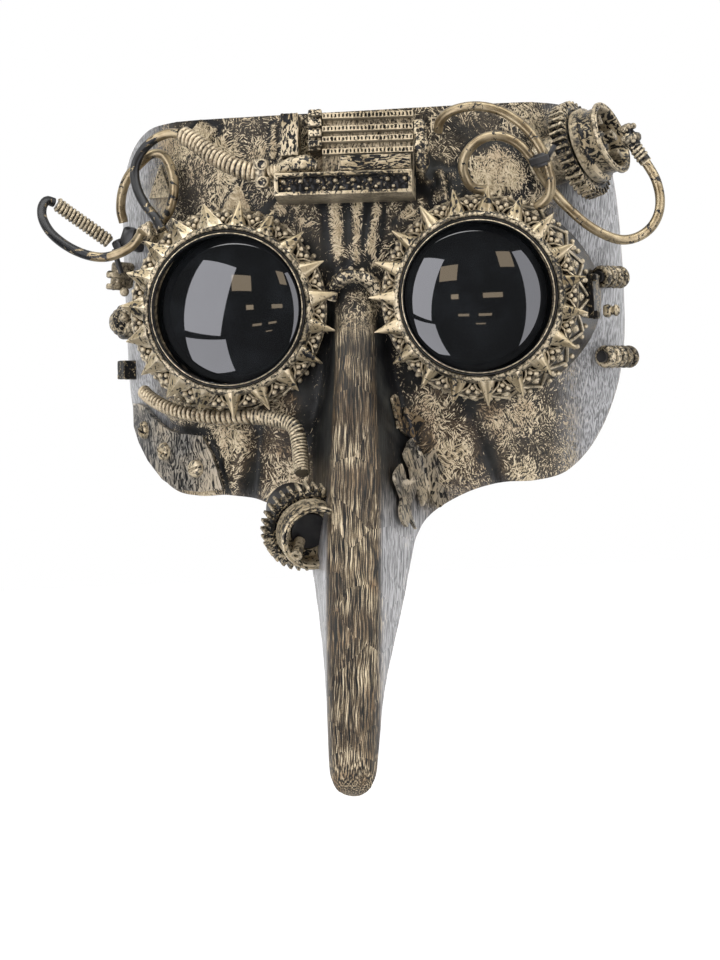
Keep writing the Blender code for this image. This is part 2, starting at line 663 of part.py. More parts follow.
def upper_barrel():
    start = 0.5 * GEAR_WIDTH + GAP
    cup = [(10.6, start + 9.6), (12.4, start + 9.8), (12.8, start + 8.8), (11.6, start + 7.2),
           (11.6, start + 3.4), (13.0, start + 2.2), (13.2, start), (BARREL_SHAFT + 0.3, start),
           (BARREL_SHAFT + 0.3, start + 3.0), (10.2, start + 3.6)]
    barrel("upper", UPPER_GEAR_CENTRE, UPPER_AXIS, UPPER_GEAR_RADIUS, 36, cup, 15.0, 3.2)
    axis = Vector(UPPER_AXIS).normalized()
    centre = Vector(UPPER_GEAR_CENTRE)
    stub_base = centre + axis * (start + 3.2 + 0.3)
    stub = turned("upper_cup_stub",
                  [(0.0, 6.6), (3.4, 6.4), (3.8, 5.8), (3.8, 3.0), (4.8, 2.4), (4.8, 0.0), (0.0, 0.0)],
                  stub_base, axis, 20)
    link_part(stub, BRASS, 0.35, 0.85)
    knob_base = Vector((97.2, -47.4, 49.6))
    knob = turned("pipe_knob",
                  [(0.0, 7.6), (2.2, 7.2), (2.9, 5.8), (2.4, 4.4), (3.6, 3.2), (3.6, 1.4), (2.6, 0.6),
                   (2.6, 0.0), (0.0, 0.0)],
                  knob_base, (-0.35, -0.05, 0.95), 12)
    link_part(knob, DARK_BRASS, 0.4, 0.8)


def lower_barrel():
    start = 0.5 * GEAR_WIDTH + GAP
    cup = [(9.4, start + 8.2), (10.6, start + 8.4), (11.2, start + 7.6), (11.2, start),
           (BARREL_SHAFT + 0.3, start), (BARREL_SHAFT + 0.3, start + 1.6), (9.2, start + 2.0)]
    barrel("lower", LOWER_GEAR_CENTRE, LOWER_AXIS, LOWER_GEAR_RADIUS, 30, cup, 16.0, 1.6)
    axis = Vector(LOWER_AXIS).normalized()
    centre = Vector(LOWER_GEAR_CENTRE) + axis * (start + 2.6)
    spout = turned("lower_cup_spout",
                   [(0.9, 5.6), (1.7, 5.4), (1.9, 4.2), (1.9, 0.0), (0.9, 0.0)],
                   centre + Vector((-3.6, -0.7, -2.6)), (-0.1, -0.72, -0.68), 10)
    link_part(spout, BRASS, 0.35, 0.85)


# ---------------------------------------------------------------- pipes, sleeves and hoses

def pipes():
    link_part(tube("forehead_sleeve", FOREHEAD_SLEEVE, SLEEVE_RADIUS, 4.2), BRASS, 0.42, 0.8)
    link_part(tube("temple_sleeve", TEMPLE_SLEEVE, TEMPLE_SLEEVE_RADIUS, 4.2), BRASS, 0.42, 0.8)
    link_part(tube("black_pipe", BLACK_PIPE, PIPE_RADIUS, 3.6), BLACK, 0.4, 0.0)
    link_part(tube("teardrop_pipe", TEARDROP_PIPE, PIPE_RADIUS, 3.6), BRASS, 0.42, 0.8)
    link_part(tube("temple_pipe", TEMPLE_PIPE, PIPE_RADIUS, 3.6), BRASS, 0.42, 0.8)
    link_part(tube("brow_pipe", BROW_PIPE, PIPE_RADIUS, 4.2), BRASS, 0.42, 0.8)
    link_part(tube("loop_pipe", LOOP_PIPE, PIPE_RADIUS, 4.4), BRASS, 0.42, 0.8)
    link_part(tube("corrugated_hose", CORRUGATED_HOSE, CORRUGATED_RADIUS, 4.0), BRASS, 0.42, 0.8)
    link_part(tube("hose_elbow", [(-36.8, -63.4, -37.0), (-32.4, -64.4, -37.6), (-28.0, -65.6, -38.6),
                                  (-23.8, -67.0, -39.4), (-21.6, -68.2, -41.4)], 2.6, 2.8), BRASS, 0.4, 0.8)
    link_part(tube("ribbed_hose", RIBBED_HOSE, RIBBED_RADIUS, 3.2), BRASS, 0.4, 0.8)


def cable_tie():
    """A thin strap round both brow pipes, with its square head in front."""
    place = frame_at((66.2, -71.0, 44.6), (-0.25, 0.0, 1.0))
    strap = block("cable_tie", (-3.4, -4.6, -1.4), (3.4, 5.8, 1.4), place, 0.5)
    for number, (route, radius) in enumerate(((BROW_PIPE, 0.55), (LOOP_PIPE, 0.55)), 1):
        near = sorted(route, key=lambda p: (Vector(p) - Vector((66.2, -70.0, 44.6))).length)[:5]
        ordered = [p for p in route if p in near]
        channel = as_mesh(tube("tie_cutter_%d" % number, ordered, PIPE_RADIUS + radius, 1.8))
        link_cutter(channel)
        boolean(strap, channel)
    link_part(strap, BLACK, 0.5, 0.0)


# ---------------------------------------------------------------- fittings at the temples

def left_fittings():
    port = block("temple_port_block", (-4.0, -3.6, -4.4), (4.0, 8.0, 4.4),
                 frame_at((-81.8, -34.0, 28.2), (0.1, 0.0, 1.0), -24.0), 0.8)
    boolean(port, shell_seat)
    link_part(port, BLACK, 0.5, 0.2)
    fitting = turned("goggle_pipe_fitting",
                     [(0.0, 3.4), (2.9, 3.2), (3.2, 2.6), (2.6, 2.0), (3.6, 1.4), (3.6, -9.0), (0.0, -9.0)],
                     (-71.4, -56.4, 27.6), (-0.2, -0.93, 0.2), 16)
    boolean(fitting, goggle_seats[-1])
    boolean(fitting, shell_seat)
    link_part(fitting, BRASS, 0.4, 0.8)
    clamp = block("temple_clamp", (-3.6, -4.0, -6.0), (3.6, 6.0, 6.0),
                  frame_at((-86.6, -25.6, 15.6), (0.12, 0.0, 1.0), -38.0), 0.9)
    boolean(clamp, shell_seat)
    link_part(clamp, DARK_BRASS, 0.45, 0.8)
    cap = turned("temple_cap",
                 [(0.0, 5.2), (3.2, 5.0), (4.4, 4.0), (4.8, 2.4), (6.0, 1.8), (6.2, -5.0), (0.0, -5.0)],
                 (-86.4, -19.6, -0.6), (-0.86, -0.5, 0.0), 16)
    boolean(cap, goggle_seats[-1])
    boolean(cap, shell_seat)
    link_part(cap, DARK_BRASS, 0.4, 0.85)
    bolt = block("square_bolt", (-3.0, -3.2, -3.4), (3.0, 6.0, 3.4),
                 frame_at((-86.2, -18.6, -17.6), (0.05, 0.0, 1.0), -56.0), 0.7)
    boolean(bolt, shell_seat)
    link_part(bolt, DARK_BRASS, 0.4, 0.85)


def right_fittings():
    place = frame_at((81.2, -44.0, 0.0), (0.0, 0.0, 1.0), -8.1)
    frame_plate = block("temple_bracket", (-3.6, -6.0, -9.0), (1.9, 6.0, 6.4), place, 0.6)
    boolean(frame_plate, goggle_seats[1])
    boolean(frame_plate, shell_seat)
    link_part(frame_plate, BRASS, 0.4, 0.8)
    lever = turned("bracket_lever",
                   [(0.0, 5.2), (1.7, 4.8), (2.2, 3.8), (1.5, 2.9), (2.2, 2.0), (2.2, 0.0), (0.0, 0.0)],
                   (84.0, -44.0, -6.2), (0.93, -0.14, 0.0), 10)
    link_part(lever, BRASS, 0.4, 0.8)
    for tag, height, turns in (("upper", 6.2, 4), ("lower", -21.6, 5)):
        coil_stub(tag, height, turns)


def coil_stub(tag, height, turns):
    """A spring-wound stub seated in the temple, its axis pointing sideways."""
    pitch = 4.2
    profile = [(0.0, turns * pitch)]
    for turn in reversed(range(turns)):
        profile += [(3.4, (turn + 0.85) * pitch), (3.9, (turn + 0.5) * pitch), (3.4, (turn + 0.15) * pitch)]
    profile += [(3.2, -2.0), (0.0, -2.0)]
    stub = turned("coil_stub_" + tag, profile, (82.2, -32.4, height), (0.44, 0.9, 0.0), 12)
    boolean(stub, goggle_seats[1])
    boolean(stub, shell_seat)
    link_part(stub, BRASS, 0.4, 0.8)


# ---------------------------------------------------------------- plates and studs on the face

def surface_plate(name, outline, lift, thickness, colour, metallic=0.6):
    """A plate that follows the mask's surface: an outline seen from the front, kept between
    two copies of the surface."""
    plate = prism(name, outline, 70.0)
    plate.matrix_world = Matrix.Translation(metres((0.0, -60.0, 0.0))) @ Matrix.Rotation(math.radians(90), 4, "X")
    outer = shell_volume(name + "_outer_cutter", lift + thickness)
    inner = shell_volume(name + "_inner_cutter", lift)
    boolean(plate, outer, "INTERSECT")
    boolean(plate, inner)
    return link_part(plate, colour, 0.45, metallic)


def cheek_plate():
    surface_plate("cheek_plate", CHEEK_PLATE, GAP, PLATE_THICKNESS, GUNMETAL)
    for number, (x, z) in enumerate(RIVETS, 1):
        foot = Vector((x, front_y(x, z), z))
        slope_x = (front_y(x + 0.5, z) - front_y(x - 0.5, z))
        slope_z = (front_y(x, z + 0.5) - front_y(x, z - 0.5))
        outward = Vector((slope_x, -1.0, slope_z)).normalized()
        rivet = turned("cheek_rivet_%d" % number,
                       [(0.0, 2.4), (1.9, 2.1), (3.0, 1.2), (3.2, 0.3), (3.2, 0.0), (0.0, 0.0)],
                       foot + outward * (GAP + PLATE_THICKNESS + 0.5), outward, 10)
        link_part(rivet, BRASS, 0.4, 0.8)


def leaf_plates():
    surface_plate("leaf_plate_upper", LEAF_UPPER, GAP, 1.6, DARK_BRASS)
    surface_plate("leaf_plate_main", LEAF_MAIN, GAP, 1.6, BRASS)
    surface_plate("leaf_plate_lower", LEAF_LOWER, GAP + 1.6 + GAP, 1.4, BRASS)


def triangle_stud():
    surface_plate("triangle_stud", TRIANGLE_STUD, GAP, 2.4, BRASS)


def strap_lugs():
    """A bar on two feet inside each temple, for a head strap to loop round."""
    inside = shell_volume("lug_seat_cutter", -SHELL_WALL - GAP)
    for side in (-1, 1):
        tag = side_name(side)
        near, deep = sorted((side * LUG_FACE_X, side * (LUG_FACE_X + 12.0)))
        place = Matrix.Translation(metres((0.0, LUG_Y, LUG_Z)))
        lug = block("strap_lug_" + tag, (near, -4.0, -9.0), (deep, 4.0, 9.0), place, 0.0)
        low, high = sorted((side * (LUG_FACE_X + LUG_BAR), side * (LUG_FACE_X + 20.0)))
        tunnel = block("lug_tunnel_cutter_" + tag, (low, -9.0, -6.0), (high, 9.0, 6.0), place, 0.0)
        link_cutter(tunnel)
        boolean(lug, inside, "INTERSECT")
        boolean(lug, tunnel)
        link_part(lug, BLACK, 0.5, 0.0)


clear_scene()
parts = new_collection("plague_doctor_mask")
cutters = new_collection("cutters")
shell_seat = shell_volume("shell_seat_cutter", GAP)
mask_shell()
goggle_seats = {side: goggle_seat(side) for side in (-1, 1)}
goggle(-1)
goggle(1)
nose_bridge()
radiator()
upper_barrel()
lower_barrel()
pipes()
cable_tie()
left_fittings()
right_fittings()
cheek_plate()
leaf_plates()
triangle_stud()
strap_lugs()
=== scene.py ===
# Steampunk plague doctor half mask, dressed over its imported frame.
# Lengths in the dictionaries are millimetres; mm turns them into metres.
import math
import random

import bpy
from mathutils import Matrix, Vector, kdtree, noise


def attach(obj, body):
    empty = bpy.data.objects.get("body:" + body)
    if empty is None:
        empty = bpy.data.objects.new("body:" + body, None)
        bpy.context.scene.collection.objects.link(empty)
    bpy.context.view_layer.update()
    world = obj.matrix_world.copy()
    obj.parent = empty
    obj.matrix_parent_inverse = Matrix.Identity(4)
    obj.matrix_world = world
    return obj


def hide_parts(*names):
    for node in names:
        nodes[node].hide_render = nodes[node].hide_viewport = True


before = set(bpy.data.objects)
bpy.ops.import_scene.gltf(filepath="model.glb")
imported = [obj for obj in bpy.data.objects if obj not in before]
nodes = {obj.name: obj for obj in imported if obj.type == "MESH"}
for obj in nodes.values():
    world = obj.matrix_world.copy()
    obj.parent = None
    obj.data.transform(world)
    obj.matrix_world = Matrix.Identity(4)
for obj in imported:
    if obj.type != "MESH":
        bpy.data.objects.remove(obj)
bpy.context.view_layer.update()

mm = 0.001
dice = random.Random(7)


# small helpers

def clearSelection():
    bpy.ops.object.select_all(action="DESELECT")


def makeActive(obj):
    clearSelection()
    obj.select_set(True)
    bpy.context.view_layer.objects.active = obj


def vec(*values):
    return Vector(values) * mm


def placeAt(centre, axis=(0, 0, 1), spin=0.0):
    turn = Vector((0, 0, 1)).rotation_difference(Vector(axis).normalized()).to_matrix().to_4x4()
    return Matrix.Translation(vec(*centre)) @ turn @ Matrix.Rotation(math.radians(spin), 4, "Z")


def settle(obj):
    makeActive(obj)
    bpy.ops.object.transform_apply(location=True, rotation=True, scale=True)


def cleanMesh(obj, gap=0.004):
    # merges doubles and turns every face outwards
    makeActive(obj)
    bpy.ops.object.mode_set(mode="EDIT")
    bpy.ops.mesh.select_all(action="SELECT")
    bpy.ops.mesh.remove_doubles(threshold=gap * mm)
    bpy.ops.mesh.normals_make_consistent(inside=False)
    bpy.ops.object.mode_set(mode="OBJECT")


def applyAll(obj):
    makeActive(obj)
    for modifier in list(obj.modifiers):
        bpy.ops.object.modifier_apply(modifier=modifier.name)


def smoothBy(obj, degrees=40):
    makeActive(obj)
    bpy.ops.object.shade_smooth_by_angle(angle=math.radians(degrees))


def finishPiece(obj, name, material, standsFor=(), body="mask", smooth=40):
    settle(obj)
    obj.name = name
    obj.data.name = name
    if material is not None:
        obj.data.materials.clear()
        obj.data.materials.append(material)
    if smooth:
        smoothBy(obj, smooth)
    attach(obj, body)
    if standsFor:
        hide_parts(*standsFor)
    return obj


def joinPieces(pieces):
    clearSelection()
    for piece in pieces:
        piece.select_set(True)
    bpy.context.view_layer.objects.active = pieces[0]
    if len(pieces) > 1:
        bpy.ops.object.join()
    return pieces[0]


def repeatPiece(base, places):
    # one modelled shape copied to many places and joined
    settle(base)
    copies = []
    for place in places:
        copy = base.copy()
        copy.data = base.data.copy()
        bpy.context.scene.collection.objects.link(copy)
        copy.data.transform(place)
        copies.append(copy)
    bpy.data.objects.remove(base, do_unlink=True)
    return joinPieces(copies)


def selectFaces(obj, test):
    # enters edit mode with just the faces that pass the test selected
    makeActive(obj)
    bpy.ops.object.mode_set(mode="EDIT")
    bpy.ops.mesh.select_mode(type="FACE")
    bpy.ops.mesh.select_all(action="DESELECT")
    bpy.ops.object.mode_set(mode="OBJECT")
    for face in obj.data.polygons:
        face.select = test(face)
    bpy.ops.object.mode_set(mode="EDIT")


def paintFaces(obj, material, test):
    obj.data.materials.append(material)
    for face in obj.data.polygons:
        if test(face):
            face.material_index = len(obj.data.materials) - 1


def softenEdges(obj, width, segments=2, angle=35):
    edge = obj.modifiers.new("edge", "BEVEL")
    edge.width = width * mm
    edge.segments = segments
    edge.limit_method = "ANGLE"
    edge.angle_limit = math.radians(angle)
    applyAll(obj)
    return obj


def addBox(low, high, place, bevel=0.3):
    size = Vector(high) - Vector(low)
    middle = (Vector(high) + Vector(low)) / 2
    clearSelection()
    bpy.ops.mesh.primitive_cube_add(size=1.0)
    box = bpy.context.object
    box.data.transform(Matrix.Diagonal((*(size * mm), 1.0)))
    box.data.transform(Matrix.Translation(middle * mm))
    box.data.transform(place)
    if bevel:
        softenEdges(box, bevel)
    return box


def addRough(low, high, place, grain=0.25, cuts=7, size=1.6):
    # a casting: a box cut up finely and made uneven
    box = addBox(low, high, Matrix(), 0)
    bpy.ops.object.mode_set(mode="EDIT")
    bpy.ops.mesh.select_all(action="SELECT")
    bpy.ops.mesh.subdivide(number_cuts=cuts)
    bpy.ops.object.mode_set(mode="OBJECT")
    for vertex in box.data.vertices:
        spot = vertex.co / mm / size
        vertex.co += Vector((noise.noise(spot), noise.noise(spot + Vector((5, 0, 0))),
                             noise.noise(spot + Vector((0, 7, 0))))) * grain * mm
    box.data.transform(place)
    return softenEdges(box, 0.3, 2, 50)


def addBead(radius, place=Matrix(), squeeze=1.0, segments=12):
    clearSelection()
    bpy.ops.mesh.primitive_uv_sphere_add(segments=segments, ring_count=segments // 2 + 1, radius=radius * mm)
    bead = bpy.context.object
    bead.data.transform(place @ Matrix.Diagonal((1, 1, squeeze, 1)))
    return bead


def spinShape(profile, place, steps=48, closed=True):
    # a profile of (radius, height) drawn point by point, then spun round Z
    clearSelection()
    bpy.ops.mesh.primitive_plane_add(size=mm)
    shape = bpy.context.object
    bpy.ops.object.mode_set(mode="EDIT")
    bpy.ops.mesh.select_mode(type="VERT")
    bpy.ops.mesh.select_all(action="SELECT")
    bpy.ops.mesh.merge(type="CENTER")
    spot = vec(profile[0][0], 0, profile[0][1])
    bpy.ops.transform.translate(value=spot)
    for radius, height in profile[1:] + (profile[:1] if closed else []):
        step = vec(radius, 0, height) - spot
        bpy.ops.mesh.extrude_region_move(TRANSFORM_OT_translate={"value": step})
        spot = spot + step
    bpy.ops.mesh.select_all(action="SELECT")
    bpy.ops.mesh.spin(steps=steps, angle=math.radians(360), center=(0, 0, 0), axis=(0, 0, 1))
    bpy.ops.mesh.select_all(action="SELECT")
    bpy.ops.mesh.remove_doubles(threshold=0.004 * mm)
    bpy.ops.mesh.normals_make_consistent(inside=False)
    bpy.ops.object.mode_set(mode="OBJECT")
    shape.data.transform(place)
    return shape


def smoothRoute(points, step):
    # evenly spaced points on a smooth curve through the given ones
    ends = [Vector(points[0]) * 2 - Vector(points[1])] + [Vector(p) for p in points]
    ends.append(Vector(points[-1]) * 2 - Vector(points[-2]))
    fine = []
    for a, b, c, d in zip(ends, ends[1:], ends[2:], ends[3:]):
        for i in range(16):
            t = i / 16
            fine.append(0.5 * (2 * b + (c - a) * t + (2 * a - 5 * b + 4 * c - d) * t * t
                               + (3 * b - a - 3 * c + d) * t ** 3))
    fine.append(Vector(points[-1]))
    total = sum((q - p).length for p, q in zip(fine, fine[1:]))
    count = max(2, round(total / step))
    route = [fine[0]]
    walked = 0.0
    for before, after in zip(fine, fine[1:]):
        length = (after - before).length
        while len(route) < count and walked + length >= total * len(route) / count:
            route.append(before.lerp(after, (total * len(route) / count - walked) / length))
        walked += length
    route.append(fine[-1])
    return route


def tubeAlong(route, radius, sides=12, radii=None, cyclic=False):
    curve = bpy.data.curves.new("tube", "CURVE")
    curve.dimensions = "3D"
    curve.bevel_depth = radius * mm
    curve.bevel_resolution = (sides - 4) // 2
    curve.use_fill_caps = True
    spline = curve.splines.new("POLY")
    spline.points.add(len(route) - 1)
    for index, point in enumerate(route):
        spline.points[index].co = (*(Vector(point) * mm), 1.0)
        if radii:
            spline.points[index].radius = radii[index]
    spline.use_cyclic_u = cyclic
    obj = bpy.data.objects.new("tube", curve)
    bpy.context.scene.collection.objects.link(obj)
    makeActive(obj)
    bpy.ops.object.convert(target="MESH")
    obj = bpy.context.object
    cleanMesh(obj)
    return obj


def markAlong(obj, route):
    # writes how far along its route each point is, in metres, for the paint to follow
    tree = kdtree.KDTree(len(route))
    walked = [0.0]
    for index, point in enumerate(route):
        tree.insert(Vector(point) * mm, index)
        if index:
            walked.append(walked[-1] + (Vector(point) - Vector(route[index - 1])).length)
    tree.balance()
    along = obj.data.attributes.new("along", "FLOAT", "POINT")
    values = [walked[tree.find(vertex.co)[1]] * mm for vertex in obj.data.vertices]
    along.data.foreach_set("value", values)


def windRound(route, radius, pitch, perTurn=14):
    # a helix that follows the route
    fine = smoothRoute(route, pitch / perTurn)
    across = (fine[1] - fine[0]).orthogonal().normalized()
    coil = []
    for index, point in enumerate(fine):
        ahead = fine[min(index + 1, len(fine) - 1)] - fine[max(index - 1, 0)]
        ahead.normalize()
        across = (across - ahead * across.dot(ahead)).normalized()
        other = ahead.cross(across)
        turn = 2 * math.pi * index / perTurn
        coil.append(point + (across * math.cos(turn) + other * math.sin(turn)) * radius)
    return coil


# the mask's front surface, the same one that the frame is cut from

shell = {"halfWidth": 89.5, "depth": 68.0, "rearY": 8.0, "squareness": 2.6, "browZ": 25.0,
         "browLean": 0.176, "browBlend": 4.0, "ridgeTopZ": 4.5, "ridgeTopY": -62.0, "ridgeSlope": 0.5,
         "crown": 1.3, "tipZ": -149.0, "tipHeight": 15.6, "tipDepth": 24.0, "edgeBlend": 0.9,
         "wall": 2.0, "ridgeColumns": 11, "wallColumns": 80, "rows": 208}
shellOutline = [
    (62.0, 67.5, 66.5), (72.5, 66.2, 63.0), (79.5, 61.5, 57.5), (84.3, 54.0, 50.5),
    (87.0, 45.0, 43.0), (88.4, 32.0, 32.0), (89.0, 16.0, 18.5), (89.1, 0.0, 6.5),
    (88.7, -14.0, -4.0), (87.2, -26.0, -13.0), (84.6, -36.0, -21.0), (80.5, -46.0, -29.0),
    (75.0, -54.5, -36.5), (67.5, -61.0, -44.0), (58.0, -63.2, -51.0), (48.0, -63.3, -57.5),
    (38.0, -65.2, -63.5), (28.5, -69.2, -69.5), (21.5, -74.0, -75.5), (18.2, -80.5, -82.0),
    (16.9, -88.0, -89.0), (15.2, -98.0, -98.0), (13.2, -109.0, -109.0), (11.2, -120.0, -120.0),
    (9.6, -131.0, -131.0), (8.7, -142.0, -142.0), (8.1, -151.0, -151.0),
    (7.4, -156.5, -158.0), (5.6, -160.6, -163.3)]


def softPlus(value, blend):
    return blend * math.log1p(math.exp(min(value / blend, 60.0)))


def between(value, low, high):
    return max(0.0, min(1.0, (value - low) / (high - low)))


def ease(value, low, high):
    t = between(value, low, high)
    return t * t * (3 - 2 * t)


def ridgeHalf(z):
    return 6.4 + 1.9 * between(-z, 25.0, 75.0) - 1.0 * between(-z, 110.0, 160.0)


def faceY(x, z):
    across = 1.0 - min(abs(x) / shell["halfWidth"], 0.9999) ** shell["squareness"]
    lean = shell["browLean"] * softPlus(z - shell["browZ"], shell["browBlend"])
    return shell["rearY"] - shell["depth"] * math.sqrt(across) + lean


def beakY(x, z):
    travel = min((shell["tipZ"] - z) / shell["tipHeight"], 0.96)
    curl = shell["tipDepth"] * (1.0 - math.sqrt(1.0 - travel * travel)) if travel > 0.0 else 0.0
    half = ridgeHalf(z)
    slope = 3.3 + 3.9 * between(-z, 90.0, 150.0)
    return (shell["ridgeTopY"] - shell["ridgeSlope"] * (shell["ridgeTopZ"] - z) + curl
            + shell["crown"] * min(abs(x) / half, 1.0) ** 2
            + slope * softPlus(abs(x) - half, shell["edgeBlend"]))


def frontY(x, z):
    first, second = faceY(x, z), beakY(x, z)
    blend = 5.0 + 6.0 * between(-z, 10.0, 50.0)
    mix = between(0.5 + 0.5 * (second - first) / blend, 0.0, 1.0)
    return second * (1.0 - mix) + first * mix - blend * mix * (1.0 - mix)


def outward(x, z, h=0.08):
    alongX = (frontY(x + h, z) - frontY(x - h, z)) / (2 * h)
    alongZ = (frontY(x, z + h) - frontY(x, z - h)) / (2 * h)
    return Vector((alongX, -1.0, alongZ)).normalized()


def stationAt(share):
    # outline station at a share from 0, the top edge, to 1, the tip
    spot = share * (len(shellOutline) - 1)
    index = min(int(spot), len(shellOutline) - 2)
    t = spot - index
    four = [Vector(shellOutline[max(0, min(index + k, len(shellOutline) - 1))]) for k in (-1, 0, 1, 2)]
    a, b, c, d = four
    return 0.5 * (2 * b + (c - a) * t + (2 * a - 5 * b + 4 * c - d) * t * t
                  + (3 * b - a - 3 * c + d) * t ** 3)


def rowOf(station):
    # points from the middle line to the edge, even steps along the surface
    edgeX, edgeZ, middleZ = station

    def spot(x):
        z = middleZ + (edgeZ - middleZ) * (x / edgeX) ** 2
        return Vector((x, frontY(x, z), z))

    ridgeEnd = min(ridgeHalf(middleZ) + 0.7, 0.8 * edgeX)
    points = [spot(ridgeEnd * i / shell["ridgeColumns"]) for i in range(shell["ridgeColumns"])]
    fine = [spot(ridgeEnd + (edgeX - ridgeEnd) * i / 300) for i in range(301)]
    walked = [0.0]
    for before, after in zip(fine, fine[1:]):
        walked.append(walked[-1] + (after - before).length)
    index = 0
    for i in range(shell["wallColumns"] + 1):
        goal = walked[-1] * i / shell["wallColumns"]
        while index < 299 and walked[index + 1] < goal:
            index += 1
        share = between(goal, walked[index], walked[index + 1])
        points.append(fine[index].lerp(fine[index + 1], share))
    return points


# relief pressed into the face: raised shards, finger ridges, creases beside the nose

raisedShapes = [
    {"corners": [(-39.2, 44.7), (-48.8, 30.2), (-32.8, 29.0)], "height": 1.1},
    {"corners": [(-52.6, 67.6), (-46.4, 63.6), (-49.6, 58.4), (-57.5, 62.1)], "height": 1.4},
    {"corners": [(-24.0, 38.0), (-29.5, 33.5), (-21.5, 30.5)], "height": 0.7},
    {"corners": [(20.0, 34.5), (24.0, 28.5), (15.6, 28.0)], "height": 0.8}]
fingerRidges = [
    {"from": (30.0, 43.0), "to": (33.2, 30.5), "width": 1.7, "height": 2.6},
    {"from": (34.4, 43.0), "to": (35.8, 31.0), "width": 1.1, "height": 2.2},
    {"from": (24.6, 45.4), "to": (26.0, 40.4), "width": 1.8, "height": 2.4},
    {"from": (38.3, 39.4), "to": (36.6, 33.4), "width": 1.1, "height": 2.0},
    {"from": (27.6, 40.0), "to": (29.4, 33.0), "width": 1.2, "height": 1.6},
    {"from": (-5.5, 34.0), "to": (-4.2, 16.0), "width": 2.2, "height": 0.9},
    {"from": (2.2, 35.0), "to": (0.6, 15.0), "width": 2.0, "height": 1.0},
    {"from": (8.6, 33.0), "to": (5.6, 18.0), "width": 1.6, "height": 0.7},
    {"from": (-26.2, 63.0), "to": (-26.8, 52.0), "width": 0.8, "height": 0.6}]
creases = [
    {"from": (-35.6, -38.0), "to": (-39.6, -64.5), "width": 3.4, "depth": 2.0, "cheek": 1.5},
    {"from": (37.4, -36.0), "to": (46.4, -63.5), "width": 3.4, "depth": 1.8, "cheek": 1.5}]


# the cheek plate's upper edge: a groove in the relief and a painted shadow line in the paint
plateGrooveAndShadowLine = [(-78.2, -30.2), (-70.0, -37.4), (-62.8, -40.5), (-54.6, -41.6), (-51.4, -48.2), (-47.6, -61.9)]


def segmentDistance(x, z, start, end):
    alongX, alongZ = end[0] - start[0], end[1] - start[1]
    share = between(((x - start[0]) * alongX + (z - start[1]) * alongZ) / (alongX ** 2 + alongZ ** 2), 0, 1)
    return math.hypot(x - start[0] - alongX * share, z - start[1] - alongZ * share), share


def insideDistance(x, z, corners):
    # how far a point is inside a convex outline, negative outside
    best = 1e9
    count = len(corners)
    area = sum(corners[i][0] * corners[(i + 1) % count][1] - corners[(i + 1) % count][0] * corners[i][1]
               for i in range(count))
    for i in range(count):
        (ax, az), (bx, bz) = corners[i], corners[(i + 1) % count]
        length = math.hypot(bx - ax, bz - az)
        away = ((bx - ax) * (z - az) - (bz - az) * (x - ax)) / length * (1 if area > 0 else -1)
        best = min(best, away)
    return best


def faceShare(x, z):
    # 1 on forehead and cheeks, falling to 0 on the smooth temples and on the beak
    temple = 1.0 - ease(abs(x), 66.0, 80.0)
    beak = ease(frontY(x, z) - beakY(x, z) + 6.0, 0.0, 5.0)
    onBeak = 1.0 - ease(faceY(x, z) - beakY(x, z), -6.0, 2.0)
    return temple * onBeak * (0.4 + 0.6 * beak)


def reliefAt(x, y, z):
    spot = Vector((x, y, z))
    rough = 0.30 * noise.noise(spot / 2.6) + 0.22 * noise.noise(spot / 1.25 + Vector((9, 2, 4)))
    broad = 0.5 * noise.noise(spot / 9.0)
    height = (rough + broad) * faceShare(x, z)
    onBeak = ease(-z, 20.0, 60.0) * (1.0 - ease(abs(x), 20.0, 30.0))
    height += 0.13 * noise.noise(Vector((x * 1.1, y * 0.12, z * 0.05))) * onBeak
    for shape in raisedShapes:
        inside = insideDistance(x, z, shape["corners"])
        if inside > -1.0:
            rim = 1.0 - between(abs(inside - 0.9), 0.0, 0.9)
            height += shape["height"] * (0.65 * ease(inside, -0.3, 0.7) + 0.35 * rim)
    for ridge in fingerRidges:
        away, share = segmentDistance(x, z, ridge["from"], ridge["to"])
        if away < ridge["width"] * 2.2:
            height += ridge["height"] * math.exp(-(away / ridge["width"]) ** 2)
    for crease in creases:
        away, share = segmentDistance(x, z, crease["from"], crease["to"])
        if away < 14.0:
            outer = abs(x) > abs(crease["from"][0] + (crease["to"][0] - crease["from"][0]) * share)
            fade = ease(share, 0.0, 0.25)
            height -= crease["depth"] * math.exp(-(away / crease["width"]) ** 2) * fade
            if outer:
                height += crease["cheek"] * math.exp(-((away - 5.0) / 4.0) ** 2) * fade
    for start, end in zip(plateGrooveAndShadowLine, plateGrooveAndShadowLine[1:]):
        height -= 0.5 * math.exp(-(segmentDistance(x, z, start, end)[0] / 0.9) ** 2)
    return height


print("helpers and surface ready")


# shader groups

def newGroup(name, inputs, outputs):
    group = bpy.data.node_groups.new(name, "ShaderNodeTree")
    for label, kind, value in inputs:
        socket = group.interface.new_socket(name=label, in_out="INPUT", socket_type=kind)
        if value is not None:
            socket.default_value = value
    for label, kind in outputs:
        group.interface.new_socket(name=label, in_out="OUTPUT", socket_type=kind)
    start = group.nodes.new("NodeGroupInput")
    start.location = (-900, 0)
    end = group.nodes.new("NodeGroupOutput")
    end.location = (900, 0)
    return group, start, end


def addNode(tree, kind, at=(0, 0), **settings):
    node = tree.nodes.new(kind)
    node.location = at
    for key, value in settings.items():
        setattr(node, key, value)
    return node


def mathNode(tree, operation, first, second, at=(0, 0), clamp=False):
    node = addNode(tree, "ShaderNodeMath", at, operation=operation, use_clamp=clamp)
    for socket, value in zip(node.inputs, (first, second)):
        feed(tree, value, socket)
    return node.outputs[0]


def feed(tree, value, socket):
    if isinstance(value, bpy.types.NodeSocket):
        tree.links.new(value, socket)
    elif value is not None:
        socket.default_value = value


